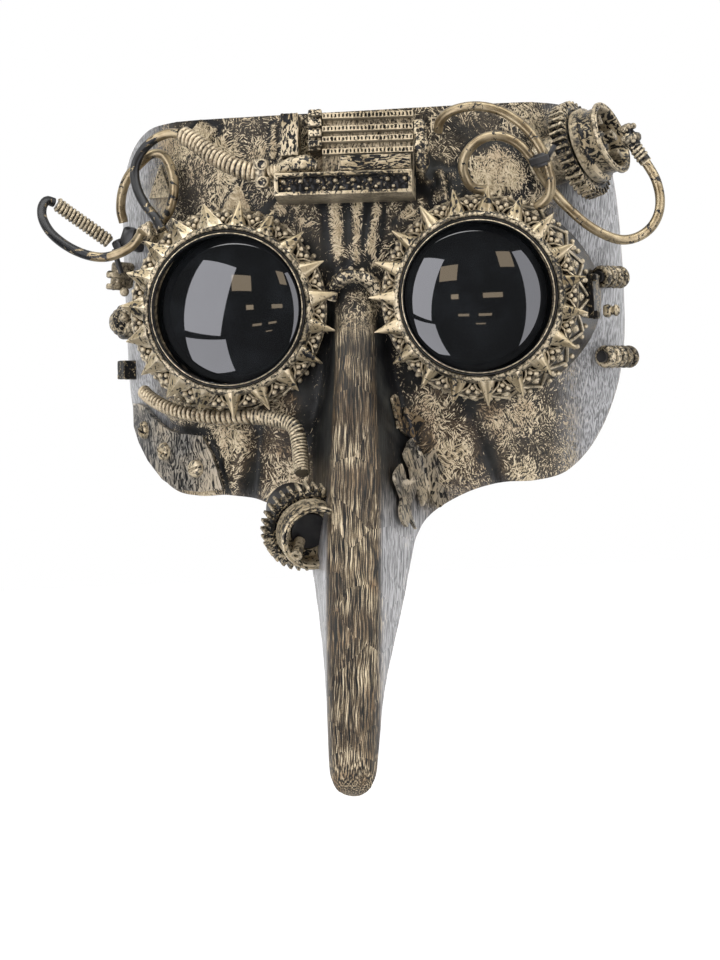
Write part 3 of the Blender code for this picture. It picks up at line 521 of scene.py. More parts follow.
def rangeNode(tree, value, low, high, at=(0, 0), toLow=0.0, toHigh=1.0, kind="SMOOTHSTEP"):
    node = addNode(tree, "ShaderNodeMapRange", at, interpolation_type=kind)
    for label, number in (("Value", value), ("From Min", low), ("From Max", high),
                          ("To Min", toLow), ("To Max", toHigh)):
        feed(tree, number, node.inputs[label])
    return node.outputs["Result"]


def mixColour(tree, share, first, second, at=(0, 0)):
    node = addNode(tree, "ShaderNodeMix", at, data_type="RGBA")
    feed(tree, share, node.inputs["Factor"])
    for socket, value in ((node.inputs[6], first), (node.inputs[7], second)):
        feed(tree, (*value, 1.0) if isinstance(value, tuple) and len(value) == 3 else value, socket)
    return node.outputs[2]


def noiseNode(tree, vector, scale, detail=4.0, roughness=0.55, distortion=0.0, at=(0, 0)):
    node = addNode(tree, "ShaderNodeTexNoise", at)
    for label, value in (("Vector", vector), ("Scale", scale), ("Detail", detail),
                         ("Roughness", roughness), ("Distortion", distortion)):
        feed(tree, value, node.inputs[label])
    return node


def makeBrushGroup():
    # dry brushing: hair-like strokes caught on a rough surface, turned cell by cell and bent by Swirl
    group, start, end = newGroup("dryBrush", [
        ("Vector", "NodeSocketVector", None), ("Stretch", "NodeSocketVector", (1, 1, 1)),
        ("Size", "NodeSocketFloat", 700.0), ("Swirl", "NodeSocketFloat", 0.01),
        ("Turn", "NodeSocketFloat", 0.0), ("Cells", "NodeSocketFloat", 230.0),
        ("Cover", "NodeSocketFloat", 0.5), ("Softness", "NodeSocketFloat", 0.05)],
        [("Mask", "NodeSocketFloat"), ("Height", "NodeSocketFloat"), ("Tone", "NodeSocketFloat")])
    broad = noiseNode(group, start.outputs["Vector"], 90.0, 2.0, at=(-700, 200))
    centred = addNode(group, "ShaderNodeVectorMath", (-540, 200), operation="SUBTRACT")
    group.links.new(broad.outputs["Color"], centred.inputs[0])
    centred.inputs[1].default_value = (0.5, 0.5, 0.5)
    bent = addNode(group, "ShaderNodeVectorMath", (-400, 200), operation="SCALE")
    group.links.new(centred.outputs[0], bent.inputs[0])
    group.links.new(start.outputs["Swirl"], bent.inputs["Scale"])
    moved = addNode(group, "ShaderNodeVectorMath", (-260, 100), operation="ADD")
    group.links.new(start.outputs["Vector"], moved.inputs[0])
    group.links.new(bent.outputs[0], moved.inputs[1])
    cells = addNode(group, "ShaderNodeTexVoronoi", (-260, 400))
    group.links.new(moved.outputs[0], cells.inputs["Vector"])
    group.links.new(start.outputs["Cells"], cells.inputs["Scale"])
    pick = addNode(group, "ShaderNodeSeparateColor", (-100, 400))
    group.links.new(cells.outputs["Color"], pick.inputs[0])
    angle = mathNode(group, "MULTIPLY", mathNode(group, "SUBTRACT", pick.outputs[0], 0.5),
                     start.outputs["Turn"], (60, 400))
    turned = addNode(group, "ShaderNodeVectorRotate", (60, 100), rotation_type="AXIS_ANGLE")
    group.links.new(moved.outputs[0], turned.inputs["Vector"])
    group.links.new(angle, turned.inputs["Angle"])
    turned.inputs["Axis"].default_value = (0.0, 1.0, 0.0)
    drawn = addNode(group, "ShaderNodeVectorMath", (200, 100), operation="MULTIPLY")
    group.links.new(turned.outputs[0], drawn.inputs[0])
    group.links.new(start.outputs["Stretch"], drawn.inputs[1])
    strokes = noiseNode(group, drawn.outputs[0], start.outputs["Size"], 2.0, 0.5, 0.15, at=(340, 200))
    grain = noiseNode(group, start.outputs["Vector"], 2400.0, 2.0, at=(340, -100))
    patches = noiseNode(group, start.outputs["Vector"], 60.0, 4.0, 0.6, at=(340, -300))
    height = mathNode(group, "ADD", mathNode(group, "MULTIPLY", strokes.outputs["Fac"], 0.9),
                      mathNode(group, "MULTIPLY", grain.outputs["Fac"], 0.1), (500, 200))
    patchy = rangeNode(group, patches.outputs["Fac"], 0.3, 0.7, (500, -300), -0.07, 0.07)
    level = mathNode(group, "SUBTRACT", rangeNode(group, start.outputs["Cover"], 0.0, 1.0, (500, 0),
                                                  0.68, 0.34, "LINEAR"), patchy)
    upper = mathNode(group, "ADD", level, start.outputs["Softness"])
    group.links.new(rangeNode(group, height, level, upper, (700, 200)), end.inputs["Mask"])
    group.links.new(height, end.inputs["Height"])
    group.links.new(patches.outputs["Fac"], end.inputs["Tone"])
    return group


def makeWearAndShadeGroup():
    # Edge is 1 on convex corners: rubbed wear, brightened further as a painted highlight; Hollow is 1 in concave
    # corners, painted shade
    group, start, end = newGroup("edgeWearAndShade", [
        ("Vector", "NodeSocketVector", None), ("Amount", "NodeSocketFloat", 1.0)],
        [("EdgeWearAndHighlight", "NodeSocketFloat"), ("HollowShade", "NodeSocketFloat")])
    shape = addNode(group, "ShaderNodeNewGeometry", (-600, 0))
    speck = noiseNode(group, start.outputs["Vector"], 900.0, 3.0, at=(-600, -260))
    shift = rangeNode(group, speck.outputs["Fac"], 0.3, 0.7, (-400, -260), -0.03, 0.03, "LINEAR")
    bent = mathNode(group, "ADD", shape.outputs["Pointiness"], shift)
    edge = rangeNode(group, bent, 0.53, 0.62, (-100, 100))
    hollowShade = rangeNode(group, bent, 0.47, 0.38, (-100, -100))
    group.links.new(mathNode(group, "MULTIPLY", edge, start.outputs["Amount"], clamp=True),
                    end.inputs["EdgeWearAndHighlight"])
    group.links.new(mathNode(group, "MULTIPLY", hollowShade, start.outputs["Amount"], clamp=True),
                    end.inputs["HollowShade"])
    return group


brushGroup = makeBrushGroup()
wearAndShadeGroup = makeWearAndShadeGroup()

paints = {"black": (0.0055, 0.0057, 0.0062), "pale": (0.58, 0.492, 0.345), "brass": (0.30, 0.240, 0.145),
          "bronze": (0.16, 0.108, 0.055), "rust": (0.20, 0.120, 0.060), "pewter": (0.25, 0.24, 0.22)}


def startMaterial(name):
    material = bpy.data.materials.new(name)
    material.use_nodes = True
    tree = material.node_tree
    shader = tree.nodes["Principled BSDF"]
    place = addNode(tree, "ShaderNodeTexCoord", (-1500, 0))
    return material, tree, shader, place.outputs["Object"]


def placeGroup(tree, group, at, **values):
    node = addNode(tree, "ShaderNodeGroup", at, node_tree=group)
    for label, value in values.items():
        feed(tree, value, node.inputs[label])
    return node


def bumpFrom(tree, height, shader, distance, strength=0.6):
    bump = addNode(tree, "ShaderNodeBump", (-300, -400))
    bump.inputs["Distance"].default_value = distance * mm
    bump.inputs["Strength"].default_value = strength
    tree.links.new(height, bump.inputs["Height"])
    tree.links.new(bump.outputs["Normal"], shader.inputs["Normal"])


def paintedMaterial(name, look):
    # black plastic with dry-brushed metal paint; look says how much and which colours
    material, tree, shader, spot = startMaterial(name)
    brush = placeGroup(tree, brushGroup, (-1200, 200), Vector=spot, Stretch=look.get("stretch", (1, 1, 1)),
                       Size=look.get("size", 700.0), Swirl=look.get("swirl", 0.004),
                       Turn=look.get("turn", 3.0), Cells=look.get("cells", 300.0),
                       Cover=look["cover"], Softness=look.get("softness", 0.06))
    wearAndShade = placeGroup(tree, wearAndShadeGroup, (-1200, -200), Vector=spot, Amount=look.get("wearAndShade", 1.0))
    metal = mixColour(tree, rangeNode(tree, brush.outputs["Tone"], 0.35, 0.65, (-900, 400)),
                      look.get("low", paints["brass"]), look.get("high", paints["pale"]), (-700, 400))
    # edges take the pale edge colour: rubbed wear and a painted highlight
    lit = mixColour(tree, wearAndShade.outputs["EdgeWearAndHighlight"], metal, look.get("edge", paints["pale"]), (-560, 400))
    painted = mathNode(tree, "MAXIMUM", brush.outputs["Mask"], wearAndShade.outputs["EdgeWearAndHighlight"], (-700, 100))
    # downward faces keep less paint: dry brushing from above, and painted shade on the undersides
    facing = addNode(tree, "ShaderNodeSeparateXYZ", (-1200, -500))
    tree.links.new(spot.node.outputs["Normal"], facing.inputs[0])
    under = rangeNode(tree, facing.outputs["Z"], -0.95, -0.30, (-1000, -500), 0.3, 1.0)
    # paint left after the painted shade: undersides dimmed, hollows taken back to black
    paintLessShade = mathNode(tree, "SUBTRACT", mathNode(tree, "MULTIPLY", painted, under, (-640, 0)),
                    wearAndShade.outputs["HollowShade"], (-560, 100), True)
    colour = mixColour(tree, paintLessShade, look.get("base", paints["black"]), lit, (-360, 300))
    tree.links.new(colour, shader.inputs["Base Color"])
    tree.links.new(rangeNode(tree, paintLessShade, 0.0, 1.0, (-360, 60), look.get("gloss", 0.3),
                             look.get("rough", 0.42), "LINEAR"), shader.inputs["Roughness"])
    tree.links.new(mathNode(tree, "MULTIPLY", paintLessShade, look.get("metal", 0.55)), shader.inputs["Metallic"])
    shader.inputs["Specular IOR Level"].default_value = 0.22
    shader.inputs["Coat Weight"].default_value = look.get("coat", 0.02)
    shader.inputs["Coat Roughness"].default_value = 0.25
    bumpFrom(tree, brush.outputs["Height"], shader, look.get("bump", 0.25), look.get("strength", 0.5))
    return material


fine = (1.0, 1.0, 0.3)
# in each look, edge is the pale colour given to convex edges, as rubbed wear and painted highlight
brassTrim = paintedMaterial("brassTrim", {"cover": 0.66, "size": 900.0, "stretch": fine, "bump": 0.16})
spikeBrass = paintedMaterial("spikeBrass", {"cover": 0.84, "size": 900.0, "stretch": fine, "bump": 0.12,
                                            "low": (0.24, 0.190, 0.110), "high": (0.48, 0.395, 0.255),
                                            "edge": (0.74, 0.64, 0.47),
                                            "metal": 0.8, "rough": 0.36})
rimBrass = paintedMaterial("rimBrass", {"cover": 0.52, "size": 900.0, "bump": 0.3, "strength": 0.8})
darkTrim = paintedMaterial("darkTrim", {"cover": 0.30, "size": 900.0, "stretch": fine, "bump": 0.2})
laceDark = paintedMaterial("laceDark", {"cover": 0.16, "size": 1100.0, "bump": 0.3, "low": paints["bronze"],
                                        "high": paints["brass"], "wearAndShade": 0.5})
laceBrass = paintedMaterial("laceBrass", {"cover": 0.29, "size": 1100.0, "bump": 0.2, "high": (0.44, 0.36, 0.235)})
barkBrass = paintedMaterial("barkBrass", {"cover": 0.54, "size": 1500.0, "stretch": (1, 1, 0.14), "bump": 0.5,
                                          "turn": 0.3, "strength": 0.9})
sleeveBrass = paintedMaterial("sleeveBrass", {"cover": 0.62, "size": 1100.0, "stretch": fine, "bump": 0.3,
                                              "low": (0.21, 0.145, 0.080), "high": (0.46, 0.36, 0.235)})
grainBrass = paintedMaterial("grainBrass", {"cover": 0.62, "size": 1600.0, "stretch": (0.12, 1, 1),
                                            "bump": 0.4, "turn": 0.5, "strength": 0.8})
pewterPlate = paintedMaterial("pewterPlate", {"cover": 0.80, "size": 1500.0, "stretch": (1, 1, 0.08), "bump": 0.15,
                                              "turn": 1.0, "softness": 0.2, "low": paints["pewter"],
                                              "high": (0.42, 0.36, 0.27), "edge": (0.62, 0.58, 0.50)})
leafPewter = paintedMaterial("leafPewter", {"cover": 0.72, "size": 1300.0, "bump": 0.12, "turn": 1.0,
                                            "stretch": (1, 1, 0.1), "low": (0.20, 0.185, 0.16),
                                            "high": (0.34, 0.285, 0.20), "edge": (0.52, 0.45, 0.34),
                                            "softness": 0.15})
leafBronze = paintedMaterial("leafBronze", {"cover": 0.6, "size": 700.0, "bump": 0.12, "stretch": fine,
                                            "low": (0.12, 0.08, 0.04), "high": (0.24, 0.18, 0.11)})


def pipeMaterial(name, stops, pale=(0.40, 0.325, 0.205)):
    # brass skin flaked off in rings; stops are (millimetres along, how much brass is left)
    material, tree, shader, spot = startMaterial(name)
    along = addNode(tree, "ShaderNodeAttribute", (-1500, -300), attribute_name="along")
    length = max(stop[0] for stop in stops)
    ramp = addNode(tree, "ShaderNodeValToRGB", (-1000, -300))
    tree.links.new(rangeNode(tree, along.outputs["Fac"], 0.0, length * mm, (-1200, -300), kind="LINEAR"),
                   ramp.inputs["Fac"])
    while len(ramp.color_ramp.elements) < len(stops):
        ramp.color_ramp.elements.new(0.5)
    for element, (position, left) in zip(ramp.color_ramp.elements, stops):
        element.position = position / length
        element.color = (left, left, left, 1.0)
    rings = addNode(tree, "ShaderNodeCombineXYZ", (-1300, 0))
    tree.links.new(mathNode(tree, "MULTIPLY", along.outputs["Fac"], 0.45, (-1400, 0)), rings.inputs["X"])
    shrunk = addNode(tree, "ShaderNodeVectorMath", (-1300, 150), operation="SCALE")
    tree.links.new(spot, shrunk.inputs[0])
    shrunk.inputs["Scale"].default_value = 0.85
    mixed = addNode(tree, "ShaderNodeVectorMath", (-1100, 100), operation="ADD")
    tree.links.new(rings.outputs[0], mixed.inputs[0])
    tree.links.new(shrunk.outputs[0], mixed.inputs[1])
    flakes = noiseNode(tree, mixed.outputs[0], 420.0, 4.0, 0.62, 0.8, (-900, 100))
    level = rangeNode(tree, ramp.outputs["Color"], 0.0, 1.0, (-800, -200), 0.66, 0.365, "LINEAR")
    skin = rangeNode(tree, flakes.outputs["Fac"], level, mathNode(tree, "ADD", level, 0.02), (-600, 0))
    tone = noiseNode(tree, spot, 160.0, 4.0, at=(-900, 400))
    brass = mixColour(tree, rangeNode(tree, tone.outputs["Fac"], 0.35, 0.65), (0.21, 0.160, 0.092), pale, (-500, 400))
    tree.links.new(mixColour(tree, skin, paints["black"], brass, (-300, 300)), shader.inputs["Base Color"])
    tree.links.new(mathNode(tree, "MULTIPLY", skin, 0.85), shader.inputs["Metallic"])
    shader.inputs["Specular IOR Level"].default_value = 0.4
    tree.links.new(rangeNode(tree, tone.outputs["Fac"], 0.3, 0.7, (-300, 0), 0.30, 0.42), shader.inputs["Roughness"])
    bumpFrom(tree, skin, shader, 0.08, 0.5)
    return material


def plasticMaterial(name, colour, rough, dust=0.15):
    material, tree, shader, spot = startMaterial(name)
    speck = noiseNode(tree, spot, 240.0, 5.0, at=(-900, 200))
    tree.links.new(mixColour(tree, rangeNode(tree, speck.outputs["Fac"], 0.35, 0.75, (-700, 200), 0.0, dust),
                             colour, (0.10, 0.095, 0.085), (-400, 200)), shader.inputs["Base Color"])
    tree.links.new(rangeNode(tree, speck.outputs["Fac"], 0.3, 0.7, (-500, 0), rough - 0.06, rough + 0.1),
                   shader.inputs["Roughness"])
    fine = noiseNode(tree, spot, 1500.0, 2.0, at=(-900, -300))
    bumpFrom(tree, fine.outputs["Fac"], shader, 0.05, 0.3)
    return material


blackPlastic = plasticMaterial("blackPlastic", (0.010, 0.010, 0.011), 0.36)
insidePlastic = plasticMaterial("insidePlastic", (0.016, 0.016, 0.017), 0.48, 0.3)


def lensMaterial():
    material, tree, shader, spot = startMaterial("smokedLens")
    haze = noiseNode(tree, spot, 90.0, 5.0, at=(-900, 200))
    scratch = noiseNode(tree, spot, 1400.0, 2.0, at=(-900, -200))
    tree.links.new(mixColour(tree, rangeNode(tree, haze.outputs["Fac"], 0.4, 0.8, (-700, 200), 0.0, 0.5),
                             (0.0035, 0.004, 0.0045), (0.012, 0.014, 0.016), (-400, 200)),
                   shader.inputs["Base Color"])
    tree.links.new(rangeNode(tree, scratch.outputs["Fac"], 0.70, 0.9, (-500, 0), 0.03, 0.08),
                   shader.inputs["Roughness"])
    shader.inputs["IOR"].default_value = 1.52
    shader.inputs["Transmission Weight"].default_value = 0.12
    shader.inputs["Coat Weight"].default_value = 0.7
    shader.inputs["Coat Roughness"].default_value = 0.03
    return material


smokedLens = lensMaterial()


def shellMaterial():
    # black shell with hair-like brushing on the face and long strokes down the beak
    material, tree, shader, spot = startMaterial("shellPaint")
    # cover: brass paint left, with painted shade already taken out of it
    cover = addNode(tree, "ShaderNodeAttribute", (-1500, 300), attribute_name="cover")
    streak = addNode(tree, "ShaderNodeAttribute", (-1500, -300), attribute_name="streak")
    warm = addNode(tree, "ShaderNodeAttribute", (-1500, -500), attribute_name="warm")
    temple = addNode(tree, "ShaderNodeAttribute", (-1500, -700), attribute_name="temple")
    leaned = addNode(tree, "ShaderNodeVectorRotate", (-1350, -100), rotation_type="X_AXIS")
    tree.links.new(spot, leaned.inputs["Vector"])
    leaned.inputs["Angle"].default_value = math.atan(shell["ridgeSlope"])
    upright = placeGroup(tree, brushGroup, (-1200, 500), Vector=spot, Stretch=(1.0, 1.0, 0.10), Size=2300.0,
                         Swirl=0.007, Turn=2.4, Cells=170.0, Cover=cover.outputs["Fac"], Softness=0.07)
    sideways = placeGroup(tree, brushGroup, (-1200, 200), Vector=spot, Stretch=(0.11, 1.0, 1.0), Size=1900.0,
                          Swirl=0.009, Turn=2.8, Cells=260.0, Cover=cover.outputs["Fac"], Softness=0.07)
    strokes = placeGroup(tree, brushGroup, (-1200, -100), Vector=leaned.outputs[0], Stretch=(1.0, 0.4, 0.022),
                         Size=3100.0, Swirl=0.002, Turn=0.05, Cells=45.0, Cover=cover.outputs["Fac"], Softness=0.26)
    crossed = mathNode(tree, "MAXIMUM", upright.outputs["Mask"],
                       mathNode(tree, "MULTIPLY", sideways.outputs["Mask"], 0.85), (-950, 350))
    crossedHeight = mathNode(tree, "MAXIMUM", upright.outputs["Height"], sideways.outputs["Height"], (-950, 250))
    mask = addNode(tree, "ShaderNodeMix", (-780, 200), data_type="FLOAT")
    for socket, value in zip((0, 2, 3), (streak.outputs["Fac"], crossed, strokes.outputs["Mask"])):
        tree.links.new(value, mask.inputs[socket])
    height = addNode(tree, "ShaderNodeMix", (-780, 0), data_type="FLOAT")
    for socket, value in zip((0, 2, 3), (streak.outputs["Fac"], crossedHeight, strokes.outputs["Height"])):
        tree.links.new(value, height.inputs[socket])
    # pale edges as rubbed wear and painted highlight; hollows go black as painted shade
    wearAndShade = placeGroup(tree, wearAndShadeGroup, (-1200, -400), Vector=spot, Amount=0.55)
    paintLessShade = mathNode(tree, "SUBTRACT", mathNode(tree, "MAXIMUM", mask.outputs[0],
                                               mathNode(tree, "MULTIPLY", wearAndShade.outputs["EdgeWearAndHighlight"], 0.7)),
                    wearAndShade.outputs["HollowShade"], (-600, 100), True)
    metal = mixColour(tree, rangeNode(tree, height.outputs[0], 0.46, 0.66, (-780, 500)),
                      paints["brass"], paints["pale"], (-560, 500))
    patina = noiseNode(tree, spot, 75.0, 4.0, at=(-1200, 800))
    browned = mathNode(tree, "MULTIPLY", rangeNode(tree, patina.outputs["Fac"], 0.45, 0.7, (-950, 800)),
                       warm.outputs["Fac"], (-780, 800))
    metal = mixColour(tree, browned, metal, paints["rust"], (-400, 500))
    ground = mixColour(tree, rangeNode(tree, patina.outputs["Fac"], 0.35, 0.65, (-780, 650)),
                       paints["black"], (0.020, 0.0205, 0.019), (-560, 650))
    washed = mathNode(tree, "MULTIPLY", rangeNode(tree, height.outputs[0], 0.40, 0.60, (-780, 950)),
                      rangeNode(tree, cover.outputs["Fac"], 0.05, 0.45, (-780, 1050)), (-600, 950))
    umber = mixColour(tree, warm.outputs["Fac"], (0.040, 0.037, 0.029), (0.080, 0.055, 0.032), (-600, 800))
    ground = mixColour(tree, washed, ground, umber, (-420, 700))
    # pale grey painted reflection streaked over the glossy temples and beak sides, under their coat
    streakedReflection = rangeNode(tree, strokes.outputs["Height"], 0.38, 0.62, (-600, 1150), 0.25, 0.95)
    ground = mixColour(tree, mathNode(tree, "MULTIPLY", streakedReflection, temple.outputs["Fac"]), ground,
                       (0.33, 0.33, 0.335), (-330, 700))
    tree.links.new(mathNode(tree, "MULTIPLY", temple.outputs["Fac"], 0.6), shader.inputs["Coat Weight"])
    tree.links.new(mixColour(tree, paintLessShade, ground, metal, (-250, 300)), shader.inputs["Base Color"])
    tree.links.new(rangeNode(tree, paintLessShade, 0.0, 1.0, (-300, 50), 0.36, 0.48, "LINEAR"), shader.inputs["Roughness"])
    tree.links.new(mathNode(tree, "MULTIPLY", paintLessShade, 0.4), shader.inputs["Metallic"])
    shader.inputs["Specular IOR Level"].default_value = 0.14
    shader.inputs["Coat Roughness"].default_value = 0.22
    rough = mathNode(tree, "MULTIPLY", height.outputs[0],
                     rangeNode(tree, cover.outputs["Fac"], 0.0, 0.4, (-600, -300), 0.35, 1.0))
    bumpFrom(tree, rough, shader, 0.40, 0.85)
    return material


shellPaint = shellMaterial()
print("materials made")


# the shell

def coverAndShadeAt(x, z):
    # how much brass paint is left, by region, lowered further where painted shade goes
    side = abs(x)
    cover = 0.43 + 0.36 * noise.noise(Vector((x, z, 0)) / 13.0)
    # raised shapes and ridges take more paint; the dark band round their feet is painted shade
    for shape in raisedShapes:
        inside = insideDistance(x, z, shape["corners"])
        cover += 0.34 * ease(inside, 0.0, 0.6) - 0.45 * math.exp(-((inside + 0.8) / 0.7) ** 2)
    for ridge in fingerRidges:
        away = segmentDistance(x, z, ridge["from"], ridge["to"])[0] / ridge["width"]
        cover += 0.4 * math.exp(-away ** 2) - 0.5 * math.exp(-((away - 1.9) / 0.8) ** 2)
    # painted shade along the creases beside the nose
    for crease in creases:
        away = segmentDistance(x, z, crease["from"], crease["to"])[0]
        cover -= 0.3 * math.exp(-(away / 3.0) ** 2)
    # painted shadow along the cheek plate's upper edge
    for start, end in zip(plateGrooveAndShadowLine, plateGrooveAndShadowLine[1:]):
        cover -= 0.5 * math.exp(-(segmentDistance(x, z, start, end)[0] / 1.1) ** 2)
    # painted shade in a band along both sides of the nose strap
    arch = abs(math.hypot(x, z - 1.5) - 8.0)
    cover -= 0.55 * math.exp(-((arch - 3.4) / 1.3) ** 2) * ease(z, -4.0, 2.0)
    # more paint inside the pipe loop, and a painted shadow ring on the face under the loop
    disc = math.hypot(x - 49.0, z - 42.5)
    cover += 0.25 * (1.0 - ease(disc, 6.0, 9.0)) - 0.5 * math.exp(-((disc - 12.0) / 2.4) ** 2)
    # painted shadow round the goggles
    away = math.hypot(side - goggles["x"], z) - 34.0
    cover -= 0.22 * math.exp(-(max(away, 0.0) / 3.0) ** 2)
    cover -= 0.36 * ease(side, 64.0, 80.0)
    cover -= 0.10 * ease(z, 50.0, 68.0) * ease(-x, 20.0, 60.0)
    onWall = 1.0 - ease(faceY(x, z) - beakY(x, z), -9.0, 3.0)
    onRidge = (1.0 - ease(side - ridgeHalf(z), -0.4, 1.6)) * ease(-z, -8.0, 8.0)
    wall = (1.0 - onWall) * ease(-z, -6.0, 12.0)
    wallCover = 0.02 + 0.24 * ease(-z, 40.0, 75.0) + 0.12 * ease(-z, 80.0, 140.0)
    cover = cover * (1.0 - wall) + wallCover * wall
    # painted shade in the hollow between goggles and beak
    pitShade = math.exp(-((side - 17.0) / 7.0) ** 2) * math.exp(-((z + 18.0) / 24.0) ** 2)
    cover -= 0.45 * pitShade * (1.0 - onRidge)
    ridgeCover = 0.46 + 0.16 * ease(-z, 40.0, 90.0)
    return max(0.0, cover * (1.0 - onRidge) + ridgeCover * onRidge)


def streakAt(x, z):
    onBeak = ease(faceY(x, z) - beakY(x, z), -4.0, 4.0) * ease(-z, 0.0, 14.0)
    lower = ease(-z, 60.0, 74.0)
    temple = ease(abs(x), 66.0, 76.0)
    return max(onBeak, lower, temple)


def beakSideGlossAndReflection(x, z):
    # 1 on the smooth glossy sides of the beak, well below the nose, which get a pale grey painted reflection
    return ease(abs(x) - ridgeHalf(z), 0.2, 1.6) * ease(-z, 58.0, 84.0) * (1.0 - 0.5 * ease(-z, 120.0, 150.0))


def makeShell():
    columns = 2 * (shell["ridgeColumns"] + shell["wallColumns"])
    half = columns // 2
    clearSelection()
    bpy.ops.mesh.primitive_grid_add(x_subdivisions=columns, y_subdivisions=shell["rows"], size=2.0)
    skin = bpy.context.object
    rows = [rowOf(stationAt(i / shell["rows"])) for i in range(shell["rows"] + 1)]
    zones = ("cover", "streak", "warm", "temple")
    for zone in zones:
        skin.data.attributes.new(zone, "FLOAT", "POINT")
    cover, streak, warm, temple = [skin.data.attributes[zone] for zone in zones]
    back = []
    for vertex in skin.data.vertices:
        column = round((vertex.co.x + 1.0) / 2.0 * columns) - half
        row = round((1.0 - vertex.co.y) / 2.0 * shell["rows"])
        point = rows[row][abs(column)].copy()
        if column < 0:
            point.x = -point.x
        x, z = point.x, point.z
        lift = reliefAt(x, point.y, z)
        vertex.co = (point + outward(x, z) * lift) * mm
        back.append((point + outward(x, z) * (min(lift, 0.0) - shell["wall"])) * mm)
        cover.data[vertex.index].value = coverAndShadeAt(x, z)
        streak.data[vertex.index].value = streakAt(x, z)
        # temple: 1 on the glossy temples and beak sides, which get a coat and a pale grey painted reflection
        temple.data[vertex.index].value = max(ease(abs(x), 62.0, 78.0), beakSideGlossAndReflection(x, z))
        warm.data[vertex.index].value = 0.35 + 0.65 * ease(-z, 5.0, 40.0) * (1.0 - ease(abs(x), 30.0, 60.0))
    skin.data.materials.append(shellPaint)
    skin.data.materials.append(insidePlastic)
    wall = skin.modifiers.new("wall", "SOLIDIFY")
    wall.thickness = shell["wall"] * mm
    wall.offset = -1.0
    wall.material_offset = 1
    wall.material_offset_rim = 1
    applyAll(skin)
    for vertex, spot in zip(skin.data.vertices[len(back):], back):
        vertex.co = spot
    for side in (-1, 1):
        clearSelection()
        bpy.ops.mesh.primitive_cylinder_add(vertices=72, radius=24.6 * mm, depth=70 * mm,
                                            location=vec(side * goggles["x"], -50, 0),
                                            rotation=(math.radians(90), 0, 0))
        hole = bpy.context.object
        cut = skin.modifiers.new("eye", "BOOLEAN")
        cut.object = hole
        cut.material_mode = "TRANSFER"
        hole.data.materials.append(insidePlastic)
        hole.hide_render = True
    cutters = [modifier.object for modifier in skin.modifiers if modifier.type == "BOOLEAN"]
    applyAll(skin)
    for cutter in cutters:
        bpy.data.objects.remove(cutter, do_unlink=True)
    finishPiece(skin, "maskSkin", None, ["mask_shell"], smooth=50)
    print("shell:", len(skin.data.polygons), "faces")


goggles = {"x": 43.1, "topY": -65.0, "topRadius": 33.0, "flare": 0.143, "spikes": 19,
           "start": {-1: 100.0, 1: 82.8}, "spikeTip": 37.2, "spikeRoot": 28.4, "spikeBase": 3.7,
           "lensTilt": 6.0}
makeShell()


# goggles: skirt with raised lace, spiked ring, retaining ring and lens

def skirtSpot(side, angle, depth, lift):
    radius = goggles["topRadius"] + goggles["flare"] * depth + lift
    turn = math.radians(angle)
    return Vector((side * goggles["x"] + radius * math.cos(turn), goggles["topY"] + depth, radius * math.sin(turn)))


def skirtDepth(side, angle):
    # how deep the skirt runs before it meets the face
    depth = 1.0
    while depth < 49.0:
        spot = skirtSpot(side, angle, depth, 0.0)
        if spot.y > frontY(spot.x, spot.z) - 0.3:
            break
        depth += 0.5
    return depth


